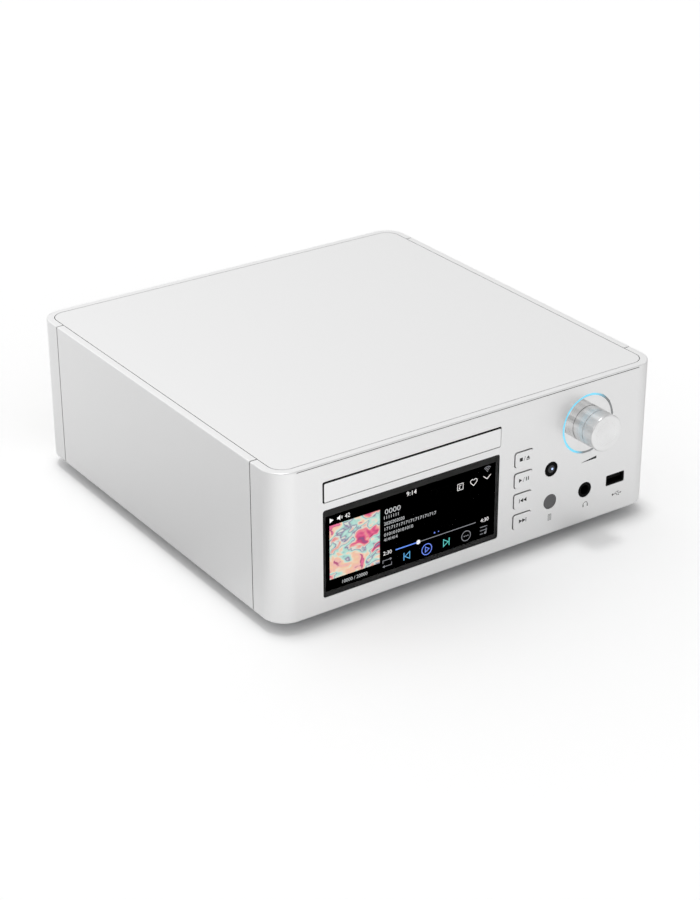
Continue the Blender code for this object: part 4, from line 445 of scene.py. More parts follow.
def placed(
    tree: bpy.types.NodeTree, centre: Point = (0, 0, 0), stretch: Point = (1, 1, 1)
) -> bpy.types.NodeSocket:
    """Object coordinates for a pattern.

    Args:
        tree: the node tree.
        centre: the point, in metres, that becomes the pattern's origin.
        stretch: how much finer the pattern is along each axis.

    Returns:
        The socket with the coordinates.
    """
    offset = [-value for value in centre]
    place = add_node(tree, "ShaderNodeTexCoord")
    inputs = {"Vector": place.outputs["Object"], "Location": offset, "Scale": stretch}
    return add_node(tree, "ShaderNodeMapping", inputs).outputs[0]


def turn_share(
    tree: bpy.types.NodeTree, up: bpy.types.NodeSocket, across: bpy.types.NodeSocket
) -> bpy.types.NodeSocket:
    """The angle about the origin as a share of a turn.

    Args:
        tree: the node tree.
        up: the coordinate that grows a quarter turn anticlockwise from the right.
        across: the coordinate that grows to the right.

    Returns:
        A socket with 0 or 1 at the left, 0.25 at the lower end, 0.5 at the right and 0.75 at the upper end.
    """
    angle = add_node(tree, "ShaderNodeMath", {0: up, 1: across}, operation="ARCTAN2")
    limits = {"Value": angle.outputs[0], "From Min": -math.pi, "From Max": math.pi}
    return add_node(tree, "ShaderNodeMapRange", limits).outputs[0]


@dataclass(frozen=True)
class Finish:
    """A surface: its material, its colour as the eye sees it, and its gloss.

    A pattern's size is in millimetres. Depth is how far the bump stands out, in millimetres.
    """

    name: str
    colour: str
    second: str
    roughness: float
    metallic: float = 0.0
    grain: float = 0.5
    depth: float = 0.01
    stretch: Point = (1.0, 1.0, 1.0)
    gloss: float = 0.5

    def shader(self) -> tuple[bpy.types.Material, bpy.types.Node]:
        """A new material of this name with its principled shader, before its pattern."""
        material = bpy.data.materials.new(self.name)
        material.use_nodes = True
        shader = material.node_tree.nodes["Principled BSDF"]
        shader.inputs["Specular IOR Level"].default_value = self.gloss
        shader.inputs["Roughness"].default_value = self.roughness
        shader.inputs["Metallic"].default_value = self.metallic
        shader.inputs["Base Color"].default_value = linear(self.colour)
        material.diffuse_color = linear(self.colour)
        return material, shader

    def pattern(self, tree: bpy.types.NodeTree) -> bpy.types.Node:
        """Noise at the size of the finish's grain, drawn out as it is worked."""
        spot = placed(tree, stretch=self.stretch)
        inputs = {"Vector": spot, "Scale": 1 / (self.grain * MM), "Detail": 3.0}
        return add_node(tree, "ShaderNodeTexNoise", inputs)

    def relief(self, shader: bpy.types.Node, height: bpy.types.NodeSocket) -> None:
        """Bump of the finish's depth from a height.

        Args:
            shader: the principled shader that takes it.
            height: the height, from 0 to 1.
        """
        bump = add_node(
            shader.id_data, "ShaderNodeBump", {"Height": height, "Strength": 1.0, "Distance": self.depth * MM}
        )
        shader.id_data.links.new(bump.outputs[0], shader.inputs["Normal"])

    def roughen(self, shader: bpy.types.Node, share: bpy.types.NodeSocket, spread: float = 0.04) -> None:
        """Lets the gloss vary by a spread round the finish's own roughness."""
        limits = {"Value": share, "To Min": self.roughness - spread, "To Max": self.roughness + spread}
        vary = add_node(shader.id_data, "ShaderNodeMapRange", limits)
        shader.id_data.links.new(vary.outputs[0], shader.inputs["Roughness"])

    def tone(self, shader: bpy.types.Node, share: bpy.types.NodeSocket) -> None:
        """Colours the shader between the finish's two colours by a share."""
        ramp = add_node(shader.id_data, "ShaderNodeValToRGB", {"Fac": share})
        set_ramp(ramp, [(0.35, self.colour), (0.65, self.second)])
        shader.id_data.links.new(ramp.outputs["Color"], shader.inputs["Base Color"])

    def material(self) -> bpy.types.Material:
        """The finish's material: a grain that varies its colour and gloss and stands out a little."""
        material, shader = self.shader()
        noise = self.pattern(material.node_tree)
        self.tone(shader, noise.outputs["Fac"])
        self.roughen(shader, noise.outputs["Fac"])
        self.relief(shader, noise.outputs["Fac"])
        return material


@dataclass(frozen=True)
class TurnedFinish(Finish):
    """Metal cut on a lathe, with fine rings about an axis along Y.

    The first colour is that of the face, and the second that of the side, which starts at the rim's radius. A
    side darker than the face is painted shade.
    """

    centre: Point = (0.0, 0.0, 0.0)
    drawn: float = 0.85
    rim: float = 12.3
    blend: Spot = (0.7, 0.2)

    def material(self) -> bpy.types.Material:
        """Rings on the faces by their radius, and on the side by their place along the axis."""
        material, shader = self.shader()
        tree = material.node_tree
        parts = add_node(tree, "ShaderNodeSeparateXYZ", {0: placed(tree, self.centre)})
        flat = add_node(tree, "ShaderNodeCombineXYZ", {"X": parts.outputs["X"], "Y": parts.outputs["Z"]})
        radius = add_node(tree, "ShaderNodeVectorMath", {0: flat.outputs[0]}, operation="LENGTH")
        rings = add_node(
            tree, "ShaderNodeCombineXYZ", {"X": radius.outputs["Value"], "Y": parts.outputs["Y"]}
        )
        start, end = ((self.rim - inset) * MM for inset in self.blend)
        limits = {"Value": radius.outputs["Value"], "From Min": start, "From Max": end}
        side = add_node(tree, "ShaderNodeMapRange", limits)
        scale = 1 / (self.grain * MM)
        noise = add_node(
            tree, "ShaderNodeTexNoise", {"Vector": rings.outputs[0], "Scale": scale, "Detail": 2.0}
        )
        # Painted shade: the side takes the second, darker colour
        self.tone(shader, side.outputs[0])
        self.roughen(shader, noise.outputs["Fac"], 0.02)
        self.relief(shader, noise.outputs["Fac"])
        tangent = add_node(tree, "ShaderNodeTangent", direction_type="RADIAL", axis="Y")
        tree.links.new(tangent.outputs[0], shader.inputs["Tangent"])
        shader.inputs["Anisotropic"].default_value = self.drawn
        shader.inputs["Anisotropic Rotation"].default_value = 0.25
        return material


@dataclass(frozen=True)
class ClearFinish(Finish):
    """Clear moulded or ground glass. Its faint unevenness only moves the reflections."""

    ior: float = 1.5

    def material(self) -> bpy.types.Material:
        """Full transmission, with a long shallow ripple in the surface."""
        material, shader = self.shader()
        shader.inputs["Transmission Weight"].default_value = 1.0
        shader.inputs["IOR"].default_value = self.ior
        noise = self.pattern(material.node_tree)
        self.relief(shader, noise.outputs["Fac"])
        return material


@dataclass(frozen=True)
class LitFinish(Finish):
    """Lit dots of a display: the light runs from one colour to the other along X between two places."""

    start: float = 0.0
    end: float = 1.0
    power: float = 1.0

    def material(self) -> bpy.types.Material:
        """Emission graded along X, on a nearly black ground."""
        material, shader = self.shader()
        tree = material.node_tree
        place = add_node(tree, "ShaderNodeTexCoord")
        parts = add_node(tree, "ShaderNodeSeparateXYZ", {0: place.outputs["Object"]})
        limits = {"Value": parts.outputs["X"], "From Min": self.start * MM, "From Max": self.end * MM}
        along = add_node(tree, "ShaderNodeMapRange", limits)
        ramp = add_node(tree, "ShaderNodeValToRGB", {"Fac": along.outputs[0]})
        set_ramp(ramp, [(0.0, self.colour), (1.0, self.second)])
        tree.links.new(ramp.outputs["Color"], shader.inputs["Emission Color"])
        shader.inputs["Emission Strength"].default_value = self.power
        shader.inputs["Base Color"].default_value = linear("050505")
        return material


@dataclass(frozen=True)
class MarbledPicture(Finish):
    """A marbled picture on a display, in flowing bands of pastel colours."""

    bands: tuple[tuple[float, str], ...] = ()
    power: float = 0.9
    warp: float = 3.2

    def material(self) -> bpy.types.Material:
        """Noise that bends a second noise, coloured in bands and lit from behind."""
        material, shader = self.shader()
        tree = material.node_tree
        spot = placed(tree, stretch=self.stretch)
        coarse = {"Vector": spot, "Scale": 0.9 / (self.grain * MM), "Detail": 2.5}
        drift = add_node(tree, "ShaderNodeTexNoise", coarse)
        moved = {0: drift.outputs["Color"], 1: (self.grain * MM * self.warp,) * 3, 2: spot}
        bend = add_node(tree, "ShaderNodeVectorMath", moved, operation="MULTIPLY_ADD")
        fine = {"Vector": bend.outputs[0], "Scale": 0.8 / (self.grain * MM), "Detail": 2.5}
        flow = add_node(tree, "ShaderNodeTexNoise", fine)
        spread = add_node(
            tree, "ShaderNodeMapRange", {"Value": flow.outputs["Fac"], "From Min": 0.26, "From Max": 0.74}
        )
        ramp = add_node(tree, "ShaderNodeValToRGB", {"Fac": spread.outputs[0]})
        set_ramp(ramp, self.bands)
        tree.links.new(ramp.outputs["Color"], shader.inputs["Emission Color"])
        shader.inputs["Emission Strength"].default_value = self.power
        shader.inputs["Base Color"].default_value = linear("101010")
        return material


@dataclass(frozen=True)
class RingLight(Finish):
    """A light guide round a knob, bright over part of its round and dark over the rest."""

    centre: Point = (0.0, 0.0, 0.0)
    glow: tuple[tuple[float, str], ...] = ()

    def material(self) -> bpy.types.Material:
        """Light by the angle about the centre, measured anticlockwise from the left as a share of a turn."""
        material, shader = self.shader()
        tree = material.node_tree
        parts = add_node(tree, "ShaderNodeSeparateXYZ", {0: placed(tree, self.centre)})
        share = turn_share(tree, parts.outputs["Z"], parts.outputs["X"])
        ramp = add_node(tree, "ShaderNodeValToRGB", {"Fac": share})
        set_ramp(ramp, self.glow)
        tree.links.new(ramp.outputs["Color"], shader.inputs["Emission Color"])
        shader.inputs["Emission Strength"].default_value = 1.0
        return material


@dataclass(frozen=True)
class BoardFinish(Finish):
    """A circuit board: green solder mask over copper tracks that run square to each other."""

    track: float = 1.6
    length: float = 9.0
    line: float = 0.18

    def material(self) -> bpy.types.Material:
        """A brick pattern drawn fine as tracks, which stand out a little under the mask."""
        material, shader = self.shader()
        tree = material.node_tree
        place = add_node(tree, "ShaderNodeTexCoord")
        scale = {"Vector": place.outputs["Object"], "Scale": 1.0, "Mortar Size": self.line * MM}
        scale |= {"Brick Width": self.track * self.length * MM, "Row Height": self.track * MM}
        scale |= {"Color1": linear(self.colour), "Color2": linear(self.colour), "Mortar": linear(self.second)}
        tracks = add_node(tree, "ShaderNodeTexBrick", scale)
        tree.links.new(tracks.outputs["Color"], shader.inputs["Base Color"])
        self.relief(shader, tracks.outputs["Fac"])
        return material


MADE: dict[Finish, bpy.types.Material] = {}


def dress(obj: bpy.types.Object, finish: Finish) -> bpy.types.Object:
    """Gives a piece or a CAD node one finish all over.

    Args:
        obj: the object.
        finish: its finish.

    Returns:
        The object.
    """
    if finish not in MADE:
        MADE[finish] = finish.material()
    if not obj.material_slots:
        obj.data.materials.append(MADE[finish])
    for material_slot in obj.material_slots:
        material_slot.material = MADE[finish]
    return obj


def fitted(
    obj: bpy.types.Object,
    finish: Finish,
    body: Body | str = Body.CASE,
    replaced: Sequence[str] = (),
) -> bpy.types.Object:
    """Dresses a finished piece, hangs it on its body and hides the CAD nodes that it stands for.

    Args:
        obj: the piece, in place.
        finish: its finish.
        body: the body that it moves with.
        replaced: the CAD nodes that it stands for.

    Returns:
        The piece.
    """
    dress(obj, finish)
    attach(obj, body.value if isinstance(body, Body) else body)
    if replaced:
        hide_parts(*replaced)
    LOG.info("%s rides on %s with %d faces", obj.name, body, len(obj.data.polygons))
    return obj


# Bead blasting scatters the light evenly: a satin white sheen with no direction and no hot spots
CASE_METAL = Finish(
    "bead-blasted anodised aluminium", "F3F3F3", "F5F5F5", 0.36, metallic=1.0, grain=0.5, depth=0.001
)
# The tray's front is blasted finer and shows a little brighter than the case
FASCIA_METAL = Finish(
    "fine-blasted anodised aluminium", "F5F5F5", "F7F7F7", 0.30, metallic=1.0, grain=0.4, depth=0.001
)
# Turning leaves fine rings, which draw the light out into streaks along the knob's side. Its face is
# brighter: the side is painted darker, as painted shade
KNOB_METAL_AND_PAINTED_SHADE = TurnedFinish(
    "turned anodised aluminium",
    "F6F6F6",
    "E4E4E4",
    0.28,
    metallic=1.0,
    grain=0.5,
    depth=0.0001,
    centre=(0.0890, -0.1389, 0.0786),
)
# Polished like a mirror: the knob stands in it
DISC_METAL = Finish("polished aluminium", "EEEEEE", "F2F2F2", 0.07, metallic=1.0, grain=6.0, depth=0.001)
# Pale turned aluminium of the feet
FOOT_METAL = Finish("turned aluminium foot", "BDBDBD", "C8C8C8", 0.35, metallic=1.0, grain=0.6, depth=0.004)
# Zinc-plated sheet: cool grey, with faint rolling streaks
SHEET_STEEL = Finish(
    "zinc-plated sheet steel",
    "A9ACAF",
    "B9BCBF",
    0.36,
    metallic=1.0,
    grain=2.0,
    depth=0.004,
    stretch=(1, 6, 1),
)
# Powder coat: black with a fine orange-peel texture that breaks up the light
REAR_PAINT = Finish("powder-coated steel", "17181A", "1D1E20", 0.55, grain=0.7, depth=0.02)
# Moulded rubber: nearly black and dull
RUBBER = Finish("moulded rubber", "161617", "1D1D1E", 0.85, grain=0.6, depth=0.02)
# Spark-eroded moulds leave engineering plastic with an even matt grain
DRIVE_PLASTIC = Finish("moulded black ABS", "1A1B1D", "212224", 0.50, grain=0.5, depth=0.012)
SOCKET_PLASTIC = Finish("moulded nylon", "0B0B0C", "101011", 0.42, grain=0.5, depth=0.01)
# Soot-black nylon of the front sockets, the carriers and the slot's lining takes nearly all the light
DEEP_PLASTIC = Finish("soot-black moulded nylon", "030303", "040404", 0.70, grain=0.5, depth=0.01, gloss=0.1)
# Gear plastic is milky and a little glossy
GEAR_PLASTIC = Finish("moulded acetal", "E2E1DA", "EBEAE4", 0.32, grain=0.8, depth=0.006)
BRASS = Finish("turned brass", "C6A04B", "D4B05B", 0.26, metallic=1.0, grain=0.5, depth=0.004)
# Lacquered tape wound over the transformer's copper
TRANSFORMER_TAPE = Finish(
    "wound polyester tape", "B08A1E", "C49B2B", 0.34, grain=3.0, depth=0.05, stretch=(1, 1, 5)
)
# Solder mask: glossy green over tracks that show lighter
BOARD = BoardFinish("solder-masked circuit board", "1C5538", "2C7650", 0.35, depth=0.03)
# The grey window lets only infra-red through, and looks like flat grey plastic
REMOTE_FILTER = Finish("infra-red filter plastic", "6A6A6B", "6E6E6F", 0.45, grain=1.0, depth=0.004)
# The indicator's lens is smoked and very glossy
INDICATOR_GLASS = Finish("smoked acrylic", "242629", "2B2D31", 0.16, grain=2.0, depth=0.002)
# Coated against reflections, which a low IOR stands for: the screen behind stays black
WINDOW_GLASS = ClearFinish("coated float glass", "FFFFFF", "FFFFFF", 0.0, grain=60.0, depth=0.0005, ior=1.005)
# Screen print on the back of the glass: an even dark grey
BORDER_INK = Finish("screen-printed border ink", "363636", "383838", 0.60, grain=1.0, depth=0.002, gloss=0.02)
SCREEN_BLACK = Finish("liquid crystal panel", "000000", "010101", 0.50, grain=0.6, depth=0.001, gloss=0.0)
# Pad printing on metal: flat, nearly black
PRINT_INK = Finish("pad-printing ink", "0E0E0E", "141414", 0.60, grain=0.4, depth=0.002)
GREY_INK = Finish("thinned pad-printing ink", "545454", "5A5A5A", 0.60, grain=0.4, depth=0.002)
# Lit dots of the panel
WHITE_DOTS = LitFinish("lit panel dots", "F4F4F4", "F8F8F8", 0.3, start=-110.0, end=20.0)
LINE_DOTS = LitFinish("grey panel dots", "BCBEC0", "C4C6C8", 0.3, start=-110.0, end=20.0)
DIM_DOTS = LitFinish("dim panel dots", "7C7E84", "84868C", 0.3, start=-110.0, end=20.0)
BLUE_DOTS = LitFinish("blue panel dots", "5B93F5", "6684F0", 0.3, start=-60.0, end=-32.0)
SEA_DOTS = LitFinish("sea-green panel dots", "58A9E6", "58CFC0", 0.3, start=-53.0, end=-18.0)
STATUS_LIGHT = LitFinish("status light", "CFE0FF", "8FB2FF", 0.3, start=60.0, end=62.4, power=1.6)
PICTURE = MarbledPicture(
    "marbled picture",
    "E8D8CC",
    "E86A9A",
    0.3,
    grain=20.0,
    stretch=(1.0, 1.0, 1.35),
    bands=(
        (0.0, "8E3A66"),
        (0.08, "D9437C"),
        (0.20, "F0739C"),
        (0.26, "B64A7A"),
        (0.29, "F3B9B4"),
        (0.36, "F6C6A2"),
        (0.44, "F3DCC6"),
        (0.48, "C7E6DA"),
        (0.55, "A6D9CF"),
        (0.59, "8C6E9A"),
        (0.62, "D8E9DF"),
        (0.68, "F2B09C"),
        (0.76, "E8578A"),
        (0.82, "C23A70"),
        (0.90, "7A4A86"),
        (1.0, "B8DCD8"),
    ),
)
# The light guide glows cyan from one o'clock round by the left to seven, and is milky grey elsewhere
RING_GUIDE = RingLight(
    "milky light guide",
    "B4B8BA",
    "B4B8BA",
    0.40,
    centre=(0.0890, -0.1389, 0.0786),
    glow=(
        (0.0, "00BEE2"),
        (0.17, "00BEE2"),
        (0.23, "000000"),
        (0.62, "000000"),
        (0.71, "00BEE2"),
        (1.0, "00BEE2"),
    ),
)
# Coloured nylon rings tell the rear sockets apart, and the white one's colour is that of the rear's print
BLACK_RING = Finish("black moulded nylon ring", "141415", "19191A", 0.40, grain=0.5, depth=0.01)
WHITE_RING = Finish("white moulded nylon ring", "E4E4E0", "EAEAE6", 0.40, grain=0.5, depth=0.01)
RED_RING = Finish("red moulded nylon ring", "A3191B", "AE2022", 0.40, grain=0.5, depth=0.01)

SLOT_FINISHES = {
    "case_aluminium": CASE_METAL,
    "knob_aluminium": KNOB_METAL_AND_PAINTED_SHADE,
    "polished_disc": DISC_METAL,
    "foot_aluminium": FOOT_METAL,
    "rubber": RUBBER,
    "window_glass": WINDOW_GLASS,
    "indicator_glass": INDICATOR_GLASS,
    "remote_filter": REMOTE_FILTER,
    "screen": SCREEN_BLACK,
    "circuit_board": BOARD,
    "socket_plastic": SOCKET_PLASTIC,
    "steel": SHEET_STEEL,
    "rear_paint": REAR_PAINT,
    "light_guide": RING_GUIDE,
    "drive_plastic": DRIVE_PLASTIC,
    "gear_plastic": GEAR_PLASTIC,
    "brass": BRASS,
    "transformer_wrap": TRANSFORMER_TAPE,
}


# Studio


@dataclass(frozen=True)
class Lamp:
    """A far soft lamp: the way to it, how wide it looks in degrees and the light it gives."""

    name: str
    towards: Point
    spread: float
    power: float


@dataclass
class Studio:
    """The pale floor, the soft light and the camera at the photograph's angle, in metres and degrees.

    The floor shows metal painted reflection tones, with painted shade near the middle, up to full where
    shade_end is.
    """

    eye: Point = (-0.7213, -1.0575, 0.6660)
    yaw: float = 34.384
    pitch: float = 26.484
    roll: float = -0.166
    lens: float = 85.77
    floor_size: float = 12.0
    floor_colour: str = "E6E6E6"
    floor_gain: float = 1.27
    painted_floor_reflection_gain: float = 1.62
    shade: float = 0.88
    shade_start: float = 0.16
    shade_end: float = 0.30
    sky: float = 0.48
    lamps: tuple[Lamp, ...] = (
        Lamp("overhead_lamp", (-0.03, 0.055, 1.0), 9.0, 0.56),
        Lamp("back_lamp", (-0.50, 0.95, 1.6), 100.0, 0.52),
    )
    # Painted reflection: the tones that metal shows of the floor round the player, anticlockwise from its
    # left as a share of a turn
    painted_floor_reflection_tones: tuple[tuple[float, str], ...] = (
        (0.0, "C0C0C0"),
        (0.05, "C7C7C7"),
        (0.11, "DADADA"),
        (0.20, "E6E6E6"),
        (0.30, "DADADA"),
        (0.38, "D3D3D3"),
        (0.46, "C0C0C0"),
        (0.54, "A2A2A2"),
        (0.62, "B4B4B4"),
        (0.75, "E6E6E6"),
        (0.875, "CCCCCC"),
        (0.95, "C4C4C4"),
        (1.0, "C0C0C0"),
    )
    # Painted reflection: the tones that metal shows of the room, from straight down to straight up: it is
    # dimmer above the horizon
    painted_room_reflection_tones: tuple[tuple[float, str], ...] = (
        (0.0, "FFFFFF"),
        (0.49, "F0F0F0"),
        (0.54, "A4A4A4"),
        (0.60, "BCBCBC"),
        (0.68, "FFFFFF"),
        (0.75, "FFFFFF"),
        (0.81, "CACACA"),
        (1.0, "BEBEBE"),
    )

    def build(self) -> None:
        """Sets up the floor, the world, the lamps and the camera."""
        self.floor()
        self.world()
        for lamp in self.lamps:
            self.hang(lamp)
        self.camera()
        LOG.info("studio with floor, world, lamps and camera")

    def seen(self, tree: bpy.types.NodeTree) -> bpy.types.NodeSocket:
        """One for rays that show the background: those of the camera, of metal and through glass."""
        rays = add_node(tree, "ShaderNodeLightPath")
        glossy = add_node(
            tree,
            "ShaderNodeMath",
            {0: rays.outputs["Is Camera Ray"], 1: rays.outputs["Is Glossy Ray"]},
            operation="MAXIMUM",
        )
        clear = {0: glossy.outputs[0], 1: rays.outputs["Is Transmission Ray"]}
        return add_node(tree, "ShaderNodeMath", clear, operation="MAXIMUM").outputs[0]

    def floor(self) -> None:
        """A pale floor whose lit parts show white and whose shadow stays, and which shows metal painted
        reflection tones, dimmed near the middle as painted shade.
        """
        bpy.ops.object.select_all(action="DESELECT")
        bpy.ops.mesh.primitive_plane_add(size=self.floor_size)
        sheet = settled("studio_floor")
        material = bpy.data.materials.new("painted studio floor")
        material.use_nodes = True
        tree = material.node_tree
        tree.nodes.clear()
        paint = add_node(tree, "ShaderNodeBsdfDiffuse", {"Color": linear(self.floor_colour)})
        # Painted reflection: metal sees the floor in tones by angle, with painted shade near the middle
        place = add_node(tree, "ShaderNodeTexCoord")
        parts = add_node(tree, "ShaderNodeSeparateXYZ", {0: place.outputs["Object"]})
        share = turn_share(tree, parts.outputs["Y"], parts.outputs["X"])
        tones = add_node(tree, "ShaderNodeValToRGB", {"Fac": share})
        set_ramp(tones, self.painted_floor_reflection_tones)
        reach = add_node(tree, "ShaderNodeVectorMath", {0: place.outputs["Object"]}, operation="LENGTH")
        limits = {"Value": reach.outputs["Value"], "From Min": self.shade_start, "From Max": self.shade_end}
        limits |= {"To Min": self.painted_floor_reflection_gain * self.shade, "To Max": self.painted_floor_reflection_gain}
        near = add_node(tree, "ShaderNodeMapRange", limits)
        tinted = {0: tones.outputs["Color"], "Scale": near.outputs[0]}
        mirror = add_node(tree, "ShaderNodeVectorMath", tinted, operation="SCALE")
        rays = add_node(tree, "ShaderNodeLightPath")
        choice = add_node(
            tree,
            "ShaderNodeMix",
            {0: rays.outputs["Is Glossy Ray"], 6: (*(self.floor_gain,) * 3, 1.0), 7: mirror.outputs[0]},
            data_type="RGBA",
        )
        shown = add_node(tree, "ShaderNodeBsdfDiffuse", {"Color": choice.outputs[2]})
        mix = add_node(
            tree, "ShaderNodeMixShader", {0: self.seen(tree), 1: paint.outputs[0], 2: shown.outputs[0]}
        )
        add_node(tree, "ShaderNodeOutputMaterial", {"Surface": mix.outputs[0]})
        sheet.data.materials.append(material)

    def world(self) -> None:
        """An even pale sky that lights the player and shows as white, and that shows metal a painted
        reflection of a room.
        """
        world = bpy.data.worlds.new("studio")
        bpy.context.scene.world = world
        world.use_nodes = True
        tree = world.node_tree
        tree.nodes.clear()
        light = add_node(tree, "ShaderNodeBackground", {"Color": (1, 1, 1, 1), "Strength": self.sky})
        # Painted reflection: metal sees a room in tones by height
        place = add_node(tree, "ShaderNodeTexCoord")
        parts = add_node(tree, "ShaderNodeSeparateXYZ", {0: place.outputs["Generated"]})
        height = add_node(tree, "ShaderNodeMapRange", {"Value": parts.outputs["Z"], "From Min": -1.0})
        room = add_node(tree, "ShaderNodeValToRGB", {"Fac": height.outputs[0]})
        set_ramp(room, self.painted_room_reflection_tones)
        rays = add_node(tree, "ShaderNodeLightPath")
        choice = add_node(
            tree,
            "ShaderNodeMix",
            {0: rays.outputs["Is Glossy Ray"], 6: (1, 1, 1, 1), 7: room.outputs["Color"]},
            data_type="RGBA",
        )
        white = add_node(tree, "ShaderNodeBackground", {"Color": choice.outputs[2], "Strength": 1.0})
        mix = add_node(
            tree, "ShaderNodeMixShader", {0: self.seen(tree), 1: light.outputs[0], 2: white.outputs[0]}
        )
        add_node(tree, "ShaderNodeOutputWorld", {"Surface": mix.outputs[0]})

    def hang(self, lamp: Lamp) -> None:
        """Hangs a lamp, whose light falls the same everywhere."""
        light = bpy.data.lights.new(lamp.name, "SUN")
        light.angle = math.radians(lamp.spread)
        light.energy = lamp.power
        obj = bpy.data.objects.new(lamp.name, light)
        bpy.context.scene.collection.objects.link(obj)
        obj.matrix_world = Vector(lamp.towards).to_track_quat("Z", "Y").to_matrix().to_4x4()

    def camera(self) -> None:
        """The camera, placed by the angles worked out from the photograph."""
        data = bpy.data.cameras.new("camera")
        data.lens = self.lens
        data.sensor_width = 36.0
        data.clip_end = 50.0
        obj = bpy.data.objects.new("camera", data)
        bpy.context.scene.collection.objects.link(obj)
        yaw, pitch, roll = (math.radians(angle) for angle in (self.yaw, self.pitch, self.roll))
        ahead = Vector((math.sin(yaw) * math.cos(pitch), math.cos(yaw) * math.cos(pitch), -math.sin(pitch)))
        right = Vector((math.cos(yaw), -math.sin(yaw), 0))
        above = right.cross(ahead)
        level = right * math.cos(roll) + above * math.sin(roll)
        upright = above * math.cos(roll) - right * math.sin(roll)
        turn = Matrix((level, upright, -ahead)).transposed().to_4x4()
        obj.matrix_world = Matrix.Translation(self.eye) @ turn
        bpy.context.scene.camera = obj


# Case


def span(low: Sequence[float], high: Sequence[float]) -> tuple[Vector, Vector]:
    """Two corners given in millimetres, in metres."""
    return Vector(low) * MM, Vector(high) * MM


